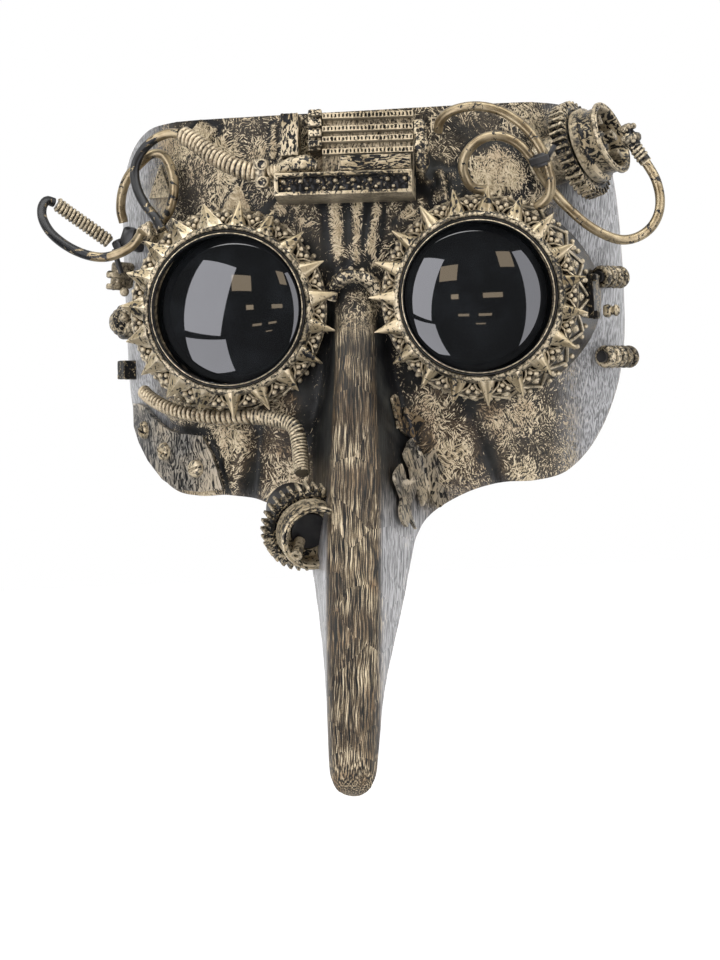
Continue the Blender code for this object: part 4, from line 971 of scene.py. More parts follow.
def makeSkirt(side, tag):
    centre = (side * goggles["x"], goggles["topY"], 0.0)
    top = goggles["topRadius"]
    foot = top + goggles["flare"] * 50
    skirt = spinShape([(24.9, 0.0), (31.6, 0.0), (32.4, 0.5), (top + 0.1, 0.2), (top + 0.25, -0.9), (top + 0.35, -3.0),
                       (foot, -50.0), (foot - 2.2, -50.0), (top - 2.2, -1.8), (24.9, -1.8)],
                      placeAt(centre, (0, -1, 0)), 96)
    seat = skirt.modifiers.new("seat", "BOOLEAN")
    seat.object = seatVolume
    applyAll(skirt)
    finishPiece(skirt, "goggleSkirt_" + tag, laceDark, ["goggle_skirt_" + tag])
    ribs = []
    beads = []
    cord = [skirtSpot(side, a, 1.0, 0.2) for a in range(0, 360, 5)]
    ribs.append(tubeAlong(cord, 0.4, 8, cyclic=True))
    step = 360.0 / goggles["spikes"]
    for i in range(goggles["spikes"]):
        angle = goggles["start"][side] + step * (i + 0.5)

        def shoulderSpot(turn, radius):
            bent = math.radians(angle + turn)
            return Vector((side * goggles["x"] + radius * math.cos(bent), goggles["topY"] - 0.7,
                           radius * math.sin(bent)))

        for turn in (-1, 1):
            ribs.append(tubeAlong([shoulderSpot(turn * 7.0, 32.8), shoulderSpot(turn * 3.0, 31.2),
                                   shoulderSpot(turn * 1.2, 29.6)], 0.42, 6))
            beads.append(Matrix.Translation(shoulderSpot(turn * 2.8 + 0.4, 32.4) * mm))
        beads.append(Matrix.Translation(shoulderSpot(0.3, 31.0) * mm))
        depth = skirtDepth(side, angle)
        if depth < 6.0:
            continue
        reach = min(depth - 1.5, 17.0)
        left = [skirtSpot(side, angle - step * (0.46 - 0.42 * t), 2.6 + (reach - 2.6) * t, 0.35)
                for t in (0, 0.25, 0.5, 0.75, 1.0)]
        right = [skirtSpot(side, angle + step * (0.46 - 0.42 * t), 2.6 + (reach - 2.6) * t, 0.35)
                 for t in (0, 0.25, 0.5, 0.75, 1.0)]
        ribs.append(tubeAlong(left, 0.62, 6))
        ribs.append(tubeAlong(right, 0.62, 6))
        if reach > 7.0:
            loop = [skirtSpot(side, angle + 1.9 * math.cos(t), 5.6 + 1.7 * math.sin(t), 0.3)
                    for t in [math.radians(30 * k) for k in range(12)]]
            ribs.append(tubeAlong(loop, 0.42, 6, cyclic=True))
            beads.append(Matrix.Translation(skirtSpot(side, angle, 5.6, 0.5) * mm))
            beads.append(Matrix.Translation(skirtSpot(side, angle + step * 0.5, min(reach * 0.6, 9.0), 0.7) * mm))
            beads.append(Matrix.Translation(skirtSpot(side, angle + step * 0.5, min(reach * 0.95, 14.0), 0.6) * mm))
    angle = 0.0
    while angle < 360.0:
        depth = skirtDepth(side, angle)
        if depth > 5.0:
            beads.append(Matrix.Translation(skirtSpot(side, angle, min(depth - 1.0, 19.0), 0.4) * mm))
        angle += 6.0
    lace = joinPieces(ribs + [repeatPiece(addBead(0.95, segments=8), beads)])
    finishPiece(lace, "goggleLace_" + tag, laceBrass, smooth=60)


def makeSpikes(side, tag):
    centre = (side * goggles["x"], goggles["topY"], 0.0)
    face = placeAt(centre, (0, -1, 0))
    lumpy = []
    ring = spinShape([(27.1, 4.2), (27.3, 5.0), (27.8, 5.35), (28.4, 5.2), (28.9, 4.6), (29.3, 3.6), (29.5, 2.4),
                      (29.6, 0.5), (27.1, 0.5)], face, 160)
    for vertex in ring.data.vertices:
        grain = noise.noise(vertex.co / mm / 1.3) * 0.34
        out = (vertex.co - vec(*centre))
        out.y = 0
        if out.length > 27.9 * mm:
            vertex.co += out.normalized() * grain * mm + Vector((0, -grain * 0.6 * mm, 0))
    ring.data.materials.append(spikeBrass)
    ring.data.materials.append(rimBrass)
    for face in ring.data.polygons:
        face.material_index = 1
    lumpy.append(ring)
    for i in range(goggles["spikes"]):
        angle = goggles["start"][side] + 360.0 * i / goggles["spikes"]
        faceted = math.cos(math.radians(angle)) * side > 0.15 and side < 0
        length = goggles["spikeTip"] - goggles["spikeRoot"] + dice.uniform(-0.5, 0.7)
        base = goggles["spikeBase"] * (1.25 if faceted else dice.uniform(0.84, 1.0))
        clearSelection()
        bpy.ops.mesh.primitive_cone_add(vertices=4 if faceted else 18, radius1=base * mm,
                                        radius2=0.18 * mm, depth=length * mm)
        spike = bpy.context.object
        bpy.ops.object.mode_set(mode="EDIT")
        bpy.ops.mesh.select_all(action="SELECT")
        bpy.ops.mesh.subdivide(number_cuts=3)
        bpy.ops.object.mode_set(mode="OBJECT")
        for vertex in spike.data.vertices:
            grain = noise.noise(vertex.co / mm / 1.4 + Vector((i * 3.1, side, 0))) * 0.16
            vertex.co += Vector((grain, grain, 0)) * mm
        place = (Matrix.Translation(vec(*centre)) @ Matrix.Rotation(math.radians(-angle), 4, "Y")
                 @ Matrix.Translation(vec(0.5 * length + goggles["spikeRoot"], -2.2, 0))
                 @ Matrix.Rotation(math.radians(dice.uniform(-6, 6)), 4, "Y")
                 @ Matrix.Rotation(math.radians(dice.uniform(-3, 8)), 4, "Z")
                 @ Matrix.Rotation(math.radians(90), 4, "Y") @ Matrix.Diagonal((1.0, 0.82, 1.0, 1.0)))
        spike.data.transform(place)
        spike.data.materials.append(spikeBrass)
        lumpy.append(spike)
    ring = joinPieces(lumpy)
    finishPiece(ring, "spikedRing_" + tag, None, ["spiked_ring_" + tag], smooth=38)


def makeLens(side, tag):
    centre = (side * goggles["x"], goggles["topY"], 0.0)
    face = placeAt(centre, (0, -1, 0))
    dome = [(25.3 * math.sin(a) / math.sin(math.radians(60)), 1.9 + 6.4 * (math.cos(a) - 0.5) / 0.5)
            for a in [math.radians(2.5 * i) for i in range(25)]]
    hollowShade = [(r * 0.955, h - 1.6) for r, h in reversed(dome)]
    lens = spinShape(dome + [(26.5, 1.9), (26.5, 0.4), (hollowShade[0][0], 0.4)] + hollowShade[1:], face, 96, closed=False)
    for vertex in lens.data.vertices:
        out = (vertex.co.x / mm - centre[0]) * side
        around = math.hypot(vertex.co.x / mm - centre[0], vertex.co.z / mm)
        if around < 25.4:
            vertex.co.y -= math.tan(math.radians(goggles["lensTilt"])) * -out * mm
    finishPiece(lens, "lens_" + tag + "_smoked", smokedLens, ["lens_" + tag])
    groove = spinShape([(26.35, 5.0), (26.5, 5.5), (26.75, 5.7), (26.95, 5.4), (26.95, 2.3), (26.3, 2.3)], face, 96)
    finishPiece(groove, "retainingGroove_" + tag, blackPlastic)
    inner = spinShape([(25.55, 4.6), (25.6, 5.5), (25.85, 5.85), (26.15, 5.7), (26.25, 5.2), (26.25, 2.3),
                       (25.65, 2.3)], face, 96)
    inner.data.materials.append(rimBrass)
    paintFaces(inner, blackPlastic, lambda face: (face.center - vec(*centre)).dot(face.normal * Vector((1, 0, 1))) < 0
               and abs(face.normal.y) < 0.6)
    finishPiece(inner, "retainingRing_" + tag, None, ["retaining_ring_" + tag])


def makeSeatVolume():
    # the space behind the face, used to trim what sits on it
    skin = bpy.data.objects["maskSkin"]
    clearSelection()
    bpy.ops.mesh.primitive_grid_add(x_subdivisions=120, y_subdivisions=120, size=2.0)
    body = bpy.context.object
    rows = [rowOf(stationAt(i / 120)) for i in range(121)]
    count = shell["ridgeColumns"] + shell["wallColumns"]
    for vertex in body.data.vertices:
        share = vertex.co.x
        row = round((1.0 - vertex.co.y) / 2.0 * 120)
        point = rows[row][min(round(abs(share) * count), count)].copy()
        if share < 0:
            point.x = -point.x
        vertex.co = point * mm
    makeActive(body)
    bpy.ops.object.mode_set(mode="EDIT")
    bpy.ops.mesh.select_all(action="SELECT")
    bpy.ops.mesh.extrude_region_move(TRANSFORM_OT_translate={"value": (0, 0.12, 0)})
    bpy.ops.mesh.select_all(action="SELECT")
    bpy.ops.mesh.normals_make_consistent(inside=False)
    bpy.ops.object.mode_set(mode="OBJECT")
    body.hide_render = True
    return body


seatVolume = makeSeatVolume()
for side, tag in ((-1, "left"), (1, "right")):
    makeSkirt(side, tag)
    makeSpikes(side, tag)
    makeLens(side, tag)
print("goggles made")


# nose bridge: an arched strap with beads along its top

bridge = {"arch": [(-8.4, -62.4, 1.8), (-7.2, -63.2, 5.6), (-3.8, -65.6, 8.6), (0.0, -66.6, 9.4),
                   (3.8, -65.6, 8.6), (7.2, -63.2, 5.6), (8.4, -62.4, 1.8)], "radius": 2.4, "beads": 7}


def makeBridge():
    route = smoothRoute(bridge["arch"], 0.5)
    strap = tubeAlong(route, bridge["radius"], 16)
    for vertex in strap.data.vertices:
        grain = noise.noise(vertex.co / mm / 1.3) * 0.35 + noise.noise(vertex.co / mm / 3.0) * 0.4
        vertex.co += (vertex.co - vec(0, -62, 4)).normalized() * grain * mm
    beads = []
    for i in range(bridge["beads"]):
        spot = route[round((i + 0.5) / bridge["beads"] * (len(route) - 1))]
        beads.append(Matrix.Translation((spot + Vector((0, -0.6, 2.3))) * mm))
    strap = joinPieces([strap, repeatPiece(addBead(0.9), beads)])
    finishPiece(strap, "bridgeStrap", rimBrass, ["nose_bridge"], smooth=50)


makeBridge()


# forehead radiator

radiator = {"origin": (6.0, -59.6, 50.0), "lean": 10.0, "roll": 1.3, "heights": (13.1, 8.6, 4.9, 0.6),
            "barFrom": -14.2, "barTo": 16.8, "holes": 24, "barHalf": 0.92, "front": -7.2,
            "beadStep": 5.95, "upperBeads": 8, "lowerBeads": 7}
radiatorPlace = (Matrix.Translation(vec(*radiator["origin"]))
                 @ Matrix.Rotation(math.radians(radiator["roll"]), 4, "Y")
                 @ Matrix.Rotation(math.radians(-radiator["lean"]), 4, "X"))


def makeBar(number, height):
    # a ladder strip: a row of square holes sunk into the bar's front
    length = radiator["barTo"] - radiator["barFrom"]
    clearSelection()
    bpy.ops.mesh.primitive_grid_add(x_subdivisions=radiator["holes"], y_subdivisions=1, size=1.0)
    bar = bpy.context.object
    bar.data.transform(Matrix.Diagonal((length * mm, 2 * radiator["barHalf"] * mm, 1.0, 1.0)))
    bar.data.materials.append(brassTrim)
    bar.data.materials.append(blackPlastic)
    bpy.ops.object.mode_set(mode="EDIT")
    bpy.ops.mesh.select_all(action="SELECT")
    bpy.ops.mesh.inset(thickness=0.37 * mm, use_individual=True)
    bpy.ops.mesh.extrude_region_move(TRANSFORM_OT_translate={"value": (0, 0, -0.9 * mm)})
    bar.active_material_index = 1
    bpy.ops.object.material_slot_assign()
    bpy.ops.object.mode_set(mode="OBJECT")
    makeActive(bar)
    bpy.ops.object.mode_set(mode="EDIT")
    bpy.ops.mesh.select_mode(type="EDGE")
    bpy.ops.mesh.select_all(action="DESELECT")
    bpy.ops.mesh.select_non_manifold()
    bpy.ops.mesh.extrude_region_move(TRANSFORM_OT_translate={"value": (0, 0, -3.2 * mm)})
    bpy.ops.mesh.edge_face_add()
    bpy.ops.mesh.select_all(action="SELECT")
    bpy.ops.mesh.normals_make_consistent(inside=False)
    bpy.ops.object.mode_set(mode="OBJECT")
    middle = 0.5 * (radiator["barTo"] + radiator["barFrom"])
    bar.data.transform(radiatorPlace @ Matrix.Translation(vec(middle, radiator["front"], height))
                       @ Matrix.Rotation(math.radians(90), 4, "X"))
    finishPiece(bar, "radiatorBar_%d" % number, None, ["radiator_bar_%d" % number], smooth=0)


def makeTray():
    clearSelection()
    bpy.ops.mesh.primitive_cube_add(size=1.0)
    tray = bpy.context.object
    tray.data.transform(Matrix.Translation(vec(-6.8, -4.4, -11.4)) @ Matrix.Diagonal((47.2 * mm, 13.6 * mm, 8.0 * mm, 1)))
    selectFaces(tray, lambda face: face.normal.y < -0.9)
    bpy.ops.mesh.inset(thickness=1.25 * mm)
    bpy.ops.mesh.extrude_region_move(TRANSFORM_OT_translate={"value": (0, 2.4 * mm, 0)})
    bpy.ops.object.mode_set(mode="OBJECT")
    tray.data.transform(radiatorPlace)
    seat = tray.modifiers.new("seat", "BOOLEAN")
    seat.object = seatVolume
    applyAll(tray)
    softenEdges(tray, 0.35)
    finishPiece(tray, "beadTray", brassTrim, ["bead_tray"])
    clearSelection()
    bpy.ops.mesh.primitive_grid_add(x_subdivisions=90, y_subdivisions=12, size=1.0)
    bed = bpy.context.object
    bed.data.transform(radiatorPlace @ Matrix.Translation(vec(-6.8, -8.9, -11.4))
                       @ Matrix.Rotation(math.radians(90), 4, "X") @ Matrix.Diagonal((44.6 * mm, 5.4 * mm, 1, 1)))
    for vertex in bed.data.vertices:
        vertex.co.y += 0.45 * noise.noise(vertex.co / mm / 0.9) * mm
    finishPiece(bed, "trayBed", laceDark)
    rows = []
    for i in range(radiator["upperBeads"]):
        rows.append(radiatorPlace @ Matrix.Translation(vec(-27.4 + i * radiator["beadStep"], -9.5, -10.2)))
    for i in range(radiator["lowerBeads"]):
        rows.append(radiatorPlace @ Matrix.Translation(vec(-25.4 + i * radiator["beadStep"], -9.3, -12.7)))
    small = [place @ Matrix.Scale(0.72, 4) for place in rows[radiator["upperBeads"]:]]
    beads = repeatPiece(addBead(0.85, segments=14), rows[:radiator["upperBeads"]] + small)
    finishPiece(beads, "trayBeads", spikeBrass, smooth=60)


def lumpyTube(route, radii, sides, rough):
    lump = tubeAlong(smoothRoute(route, 0.6), 1.0, sides,
                     [radii[0]] * 1000 if len(radii) == 1 else spreadRadii(radii, len(smoothRoute(route, 0.6))))
    for vertex in lump.data.vertices:
        grain = noise.noise(vertex.co / mm / 2.2) * rough + noise.noise(vertex.co / mm / 0.9) * rough * 0.4
        vertex.co += Vector((0, -grain, grain * 0.5)) * mm
    return lump


def spreadRadii(radii, count):
    spread = []
    for i in range(count):
        spot = i / max(1, count - 1) * (len(radii) - 1)
        index = min(int(spot), len(radii) - 2)
        spread.append(radii[index] + (radii[index + 1] - radii[index]) * (spot - index))
    return spread


def makeRadiator():
    for number, height in enumerate(radiator["heights"], 1):
        makeBar(number, height)
    makeTray()
    elbow = lumpyTube([(-26.6, -63.3, 46.0), (-24.2, -64.2, 46.6), (-21.0, -65.6, 47.4), (-17.0, -66.9, 47.9),
                       (-13.5, -67.4, 47.9), (-10.6, -67.0, 47.2)], (1.9, 1.9, 2.6, 3.0, 3.4, 3.3, 2.2), 18, 0.75)
    collars = [tubeAlong(windRound([(-27.0, -63.2, 46.0), (-24.0, -64.2, 46.6)], 2.1, 1.3), 0.45, 8)]
    finishPiece(joinPieces([elbow] + collars), "inletElbow", brassTrim,
                ["radiator_inlet_elbow"], smooth=60)
    grate = addRough((-7.8, -7.9, -6.3), (15.8, -7.2, -1.1), radiatorPlace, 0.3, 14, 1.1)
    finishPiece(grate, "crossbarFace", grainBrass)
    comb = [addRough((-19.2, -5.4, 1.6), (-14.9, 3.4, 15.6), radiatorPlace, 0.3)]
    for k in range(4):
        comb.append(addRough((-19.0, -8.2, 2.3 + 3.6 * k), (-14.5, -5.0, 4.5 + 3.6 * k), radiatorPlace, 0.25, 4))
    finishPiece(joinPieces(comb), "radiatorComb", rimBrass, ["radiator_comb"])
    bark = addRough((-29.0, -4.4, 0.4), (-22.9, 3.4, 15.2), radiatorPlace, 0.35, 15, 1.4)
    finishPiece(bark, "sidePlateBark", barkBrass, ["radiator_side_plate"])
    outlet = lumpyTube([(24.6, -62.6, 61.0), (25.2, -64.0, 56.0), (25.6, -64.8, 51.0), (25.6, -65.0, 46.0),
                        (25.0, -65.2, 43.6)], (2.0, 2.8, 2.2, 2.9, 2.3, 2.6, 1.6), 18, 0.9)
    finishPiece(outlet, "outletCasting", rimBrass, ["radiator_outlet"], smooth=60)
    clampParts = [addBox((-1.8, -3.6, -4.6), (1.8, 1.6, 4.6), placeAt((-29.4, -62.4, 46.0), (0.05, 0, 1), -12), 0.5),
                  addBox((-2.3, -4.4, 1.2), (2.3, -1.0, 4.6), placeAt((-29.4, -62.4, 46.0), (0.1, 0, 1), -14), 0.6),
                  addBox((-2.3, -4.6, -4.8), (2.3, -1.0, -1.4), placeAt((-28.8, -62.4, 46.0), (0.0, 0, 1), -8), 0.6)]
    for height in (2.9, -3.1):
        clampParts.append(spinShape([(0.0, 0.4), (1.0, 0.4), (1.4, 0.9), (1.9, 0.7), (1.9, -0.6), (0.0, -0.6)],
                                    placeAt((-29.0, -67.0, 46.0 + height), (-0.15, -1, 0)), 16, closed=False))
    finishPiece(joinPieces(clampParts), "inletClamp", darkTrim, ["inlet_clamp_nut"])


makeRadiator()
print("radiator made")


# gear barrels

def makeGear(name, place, tip, root, teeth, width, bore, material, body, standsFor):
    clearSelection()
    bpy.ops.mesh.primitive_cylinder_add(vertices=2 * teeth, radius=root * mm, depth=width * mm)
    gear = bpy.context.object
    pitch = math.pi / teeth
    selectFaces(gear, lambda face: abs(face.normal.z) < 0.5
                and int(math.floor(math.atan2(face.center.y, face.center.x) / pitch)) % 2 == 0)
    bpy.ops.mesh.inset(thickness=0.16 * mm, depth=(tip - root) * mm, use_individual=True)
    bpy.ops.object.mode_set(mode="OBJECT")
    selectFaces(gear, lambda face: face.center.xy.length < mm)
    bpy.ops.mesh.inset(thickness=1.1 * mm)
    bpy.ops.mesh.inset(thickness=0.3 * mm, depth=-0.7 * mm)
    bpy.ops.mesh.inset(thickness=(root - bore - 1.4) * mm)
    bpy.ops.mesh.bridge_edge_loops()
    bpy.ops.mesh.select_all(action="SELECT")
    bpy.ops.mesh.normals_make_consistent(inside=False)
    bpy.ops.object.mode_set(mode="OBJECT")
    softenEdges(gear, 0.16, 2, 30)
    gear.data.transform(place)
    return finishPiece(gear, name, material, standsFor, body, 30)


upper = {"centre": (78.0, -39.8, 49.7), "axis": (0.90, -0.33, 0.28), "tip": 17.3, "root": 15.1, "teeth": 38}
lower = {"centre": (-17.6, -86.0, -75.0), "axis": (0.36, -0.86, -0.36), "tip": 15.2, "root": 13.0, "teeth": 32}
gearWidth, gearBore, shaftRadius, faceGap = 5.6, 6.5, 6.2, 0.35


def makeUpperBarrel():
    axis = Vector(upper["axis"]).normalized()
    place = placeAt(upper["centre"], axis)
    makeGear("upperGearToothed", place, upper["tip"], upper["root"], upper["teeth"], gearWidth, gearBore,
             rimBrass, "upper_gear_ring", ["upper_gear"])
    start = 0.5 * gearWidth + faceGap
    cup = spinShape([(10.4, start + 9.2), (10.9, start + 9.9), (11.5, start + 10.0), (11.9, start + 9.6),
                     (12.3, start + 9.9), (12.8, start + 9.7), (12.9, start + 8.9), (12.2, start + 8.2),
                     (11.7, start + 7.4), (11.6, start + 4.0), (12.3, start + 3.3), (13.1, start + 3.0),
                     (13.3, start + 2.0), (13.2, start), (6.6, start), (6.6, start + 3.0), (10.0, start + 3.6)],
                    place, 72)
    finishPiece(cup, "upperCupRim", brassTrim, ["upper_cup"])
    stubPlace = placeAt(Vector(upper["centre"]) + axis * (start + 3.5), axis)
    stub = [spinShape([(0.0, 7.6), (1.6, 7.4), (1.7, 3.6), (3.4, 3.2), (3.8, 2.6), (3.8, 1.6), (4.8, 1.2),
                       (4.8, 0.0), (0.0, 0.0)], stubPlace, 32, closed=False)]
    for k in range(5):
        turn = math.radians(72 * k + 20)
        stub.append(addBox((5.4, -1.2, 0.2), (9.0, 1.2, 4.4 + dice.uniform(-0.8, 1.2)),
                           stubPlace @ Matrix.Rotation(turn, 4, "Z"), 0.5))
    finishPiece(joinPieces(stub), "upperCupStub", darkTrim, ["upper_cup_stub"])
    post = spinShape([(0.0, start + 3.0), (6.2, start + 3.0), (6.2, -start), (8.2, -start), (8.6, -start - 0.6),
                      (8.6, -start - 15.0), (0.0, -start - 15.0)], place, 40, closed=False)
    seat = post.modifiers.new("seat", "BOOLEAN")
    seat.object = seatVolume
    applyAll(post)
    finishPiece(post, "upperBarrelPost", darkTrim, ["upper_barrel_post"])
    knobPlace = placeAt((97.2, -47.4, 49.6), (-0.35, -0.05, 0.95))
    knob = [spinShape([(0.0, 8.2), (1.5, 8.0), (2.4, 7.2), (2.5, 6.2), (1.9, 5.2), (2.2, 4.4), (3.4, 3.6),
                       (3.7, 2.6), (3.3, 1.4), (2.5, 0.8), (2.5, 0.0), (0.0, 0.0)], knobPlace, 24, closed=False),
            tubeAlong(smoothRoute([(101.0, -47.1, 43.8), (99.0, -47.4, 46.8), (97.4, -47.5, 49.4), (96.4, -47.6, 51.8)],
                                  0.6), 2.15, 14),
            tubeAlong(windRound([(100.2, -47.2, 45.0), (97.8, -47.5, 48.8)], 2.1, 1.5), 0.5, 8),
            addBead(1.1, knobPlace @ Matrix.Translation(vec(2.4, -1.4, 6.4))),
            addBead(1.2, knobPlace @ Matrix.Translation(vec(-2.2, -1.8, 3.4))),
            addBead(0.9, knobPlace @ Matrix.Translation(vec(0.4, -2.8, 1.8)))]
    finishPiece(joinPieces(knob), "pipeKnob", darkTrim, ["pipe_knob"])


def makeLowerBarrel():
    axis = Vector(lower["axis"]).normalized()
    place = placeAt(lower["centre"], axis)
    gear = makeGear("lowerGearToothed", place, lower["tip"], lower["root"], lower["teeth"], gearWidth, gearBore,
                    rimBrass, "mask", ["lower_gear"])
    start = 0.5 * gearWidth + faceGap
    cup = spinShape([(9.2, start + 7.6), (9.6, start + 8.5), (10.1, start + 8.7), (10.5, start + 8.2),
                     (10.9, start + 8.5), (11.3, start + 8.2), (11.4, start + 7.2), (10.9, start + 6.6),
                     (11.2, start), (6.6, start), (6.6, start + 1.4), (9.0, start + 1.8)], place, 64)
    for piece in (gear, cup):
        seat = piece.modifiers.new("seat", "BOOLEAN")
        seat.object = seatVolume
    applyAll(gear)
    applyAll(cup)
    finishPiece(cup, "lowerCupRim", brassTrim, ["lower_cup"])
    post = spinShape([(0.0, start + 1.5), (6.2, start + 1.5), (6.2, -start), (8.4, -start), (8.6, -start - 0.4),
                      (8.6, -start - 16.0), (0.0, -start - 16.0)], place, 40, closed=False)
    seat = post.modifiers.new("seat", "BOOLEAN")
    seat.object = seatVolume
    applyAll(post)
    finishPiece(post, "lowerBarrelPost", blackPlastic, ["lower_barrel_post"])
    spoutBase = Vector(lower["centre"]) + axis * (start + 2.6) + Vector((-3.6, -0.7, -2.6))
    spout = spinShape([(0.85, 7.2), (1.1, 7.7), (1.8, 7.7), (2.1, 7.2), (1.9, 6.2), (1.9, 0.0), (0.85, 0.0)],
                      placeAt(spoutBase, (-0.1, -0.72, -0.68)), 28)
    finishPiece(spout, "cupSpout", brassTrim, ["lower_cup_spout"])


makeUpperBarrel()
makeLowerBarrel()
print("gear barrels made")


# bent pipes, spring-wound sleeves and hoses

routes = {
    "foreheadSleeve": [(-32.1, -62.3, 46.4), (-38.5, -61.6, 48.6), (-46.5, -58.2, 53.2),
                       (-53.0, -54.4, 58.4), (-58.4, -51.0, 61.8)],
    "blackPipe": [(-59.6, -50.3, 62.4), (-64.0, -49.0, 62.6), (-69.2, -48.2, 60.6),
                  (-73.8, -48.0, 56.2), (-75.8, -49.6, 50.2), (-74.6, -52.6, 43.6),
                  (-71.4, -56.0, 37.6), (-68.0, -59.6, 33.6),
                  (-65.4, -62.0, 28.6)],
    "teardropPipe": [(-66.4, -48.6, 27.4), (-67.8, -47.6, 31.4), (-64.6, -48.0, 36.0), (-62.6, -47.6, 43.0),
                     (-63.4, -46.4, 50.0), (-66.2, -45.0, 55.4), (-70.6, -43.6, 56.2),
                     (-75.2, -41.8, 53.2), (-79.4, -40.2, 49.4), (-82.2, -38.6, 44.0),
                     (-83.2, -37.4, 38.0), (-82.6, -36.4, 33.6)],
    "templePipe": [(-72.2, -62.7, 28.2), (-75.8, -60.6, 24.2), (-80.4, -59.4, 21.8),
                   (-86.0, -58.0, 20.6), (-91.6, -56.4, 21.4), (-97.4, -54.4, 23.8),
                   (-102.6, -52.0, 27.2), (-106.8, -49.2, 31.2), (-109.4, -46.4, 35.8),
                   (-109.9, -43.6, 39.8), (-108.6, -41.4, 42.2), (-106.4, -39.6, 41.6)],
    "templeSleeve": [(-105.4, -38.8, 41.0), (-101.6, -37.2, 37.8), (-96.6, -35.6, 33.8),
                     (-91.4, -34.4, 29.6), (-88.4, -33.6, 27.2)],
    "browPipe": [(31.4, -61.6, 57.4), (32.2, -64.0, 60.0), (34.6, -66.4, 62.4),
                 (39.0, -68.6, 64.0), (45.6, -69.8, 64.4), (52.4, -70.2, 62.8),
                 (58.2, -70.2, 59.4), (63.0, -69.8, 54.8), (66.6, -69.4, 49.0),
                 (68.4, -68.8, 43.6), (69.4, -67.8, 38.0), (68.6, -66.2, 33.6),
                 (66.2, -64.6, 31.0), (63.8, -63.0, 29.8)],
    "loopPipe": [(46.2, -60.4, 36.4), (43.0, -61.8, 37.0), (40.6, -64.2, 39.8),
                 (39.6, -66.8, 44.4), (41.6, -69.0, 49.2), (46.0, -70.2, 52.8),
                 (51.2, -70.6, 54.0), (56.4, -70.4, 52.6), (60.6, -69.8, 49.4),
                 (63.8, -68.2, 44.8), (66.4, -65.0, 40.0), (69.4, -62.4, 35.0),
                 (73.6, -61.2, 29.6), (80.4, -60.2, 23.0), (87.0, -58.8, 18.8),
                 (92.4, -56.8, 17.2), (97.6, -54.4, 18.2), (102.0, -52.0, 21.4),
                 (104.6, -49.8, 26.2), (105.2, -48.2, 31.8), (104.0, -47.2, 37.8),
                 (101.4, -47.0, 43.0), (98.8, -47.4, 47.0)],
    "corrugatedHose": [(-78.6, -36.4, -25.6), (-75.4, -41.6, -28.2), (-71.4, -46.8, -30.6),
                       (-66.6, -51.4, -32.8), (-61.0, -55.4, -34.6), (-54.4, -58.6, -36.0),
                       (-47.6, -60.8, -36.8), (-41.0, -62.4, -36.9), (-37.4, -63.2, -36.9)],
    "hoseElbow": [(-36.8, -63.4, -37.0), (-32.4, -64.4, -37.6), (-28.0, -65.6, -38.6),
                  (-23.8, -67.0, -39.4), (-21.6, -68.2, -41.4)],
    "ribbedHose": [(-20.9, -69.2, -43.6), (-20.3, -70.4, -47.8), (-19.8, -72.6, -52.0),
                   (-19.4, -74.6, -55.0), (-19.2, -76.2, -57.0)]}
pipes = {
    "blackPipe": {"node": "black_pipe", "stops": [(0, 0.95), (7, 0.9), (9, 0.25), (34, 0.1), (42, 0.3)], "slot": "black_plastic"},
    "teardropPipe": {"node": "teardrop_pipe", "stops": [(0, 0.5), (14, 0.7), (24, 0.95), (60, 0.97)], "slot": "brass_trim"},
    "templePipe": {"node": "temple_pipe", "stops": [(0, 0.95), (14, 0.9), (22, 0.55), (30, 0.2), (70, 0.12)], "slot": "brass_trim"},
    "browPipe": {"node": "brow_pipe", "stops": [(0, 0.95), (60, 0.86), (95, 0.9)], "slot": "brass_trim"},
    "loopPipe": {"node": "loop_pipe", "stops": [(0, 0.95), (52, 0.85), (80, 0.9), (136, 0.86), (152, 0.4), (185, 0.28)],
                 "slot": "brass_trim"}}
wound = {
    "foreheadSleeve": {"node": "forehead_sleeve", "core": 2.75, "coil": 2.62, "wire": 0.76, "pitch": 1.75},
    "templeSleeve": {"node": "temple_sleeve", "core": 2.1, "coil": 2.0, "wire": 0.62, "pitch": 1.5},
    "corrugatedHose": {"node": "corrugated_hose", "core": 1.7, "coil": 1.75, "wire": 0.78, "pitch": 1.9},
    "ribbedHose": {"node": "ribbed_hose", "core": 2.3, "coil": 2.35, "wire": 0.52, "pitch": 1.3}}


def makePipes():
    for name, facts in pipes.items():
        route = smoothRoute(routes[name], 0.8)
        pipe = tubeAlong(route, 1.68, 16)
        markAlong(pipe, route)
        finishPiece(pipe, name, pipeMaterial(name + "Skin", facts["stops"]), [facts["node"]], smooth=60)
    for name, facts in wound.items():
        core = tubeAlong(smoothRoute(routes[name], 0.8), facts["core"], 14)
        coil = tubeAlong(windRound(routes[name], facts["coil"], facts["pitch"]), facts["wire"], 8)
        core.data.materials.append(laceDark)
        coil.data.materials.append(rimBrass if name in ("templeSleeve", "ribbedHose") else sleeveBrass)
        finishPiece(joinPieces([core, coil]), name, None, [facts["node"]], smooth=60)
    bend = routes["hoseElbow"][:3] + [(-24.6, -66.7, -39.6), (-22.2, -68.0, -41.2), (-21.0, -68.9, -43.4)]
    elbow = tubeAlong(smoothRoute(bend, 0.8), 2.35, 16)
    wrap = tubeAlong(windRound(bend, 2.3, 1.3), 0.46, 8)
    finishPiece(joinPieces([elbow, wrap]), "hoseElbow", darkTrim, ["hose_elbow"], smooth=60)


makePipes()
print("pipes made")


# plates that follow the face

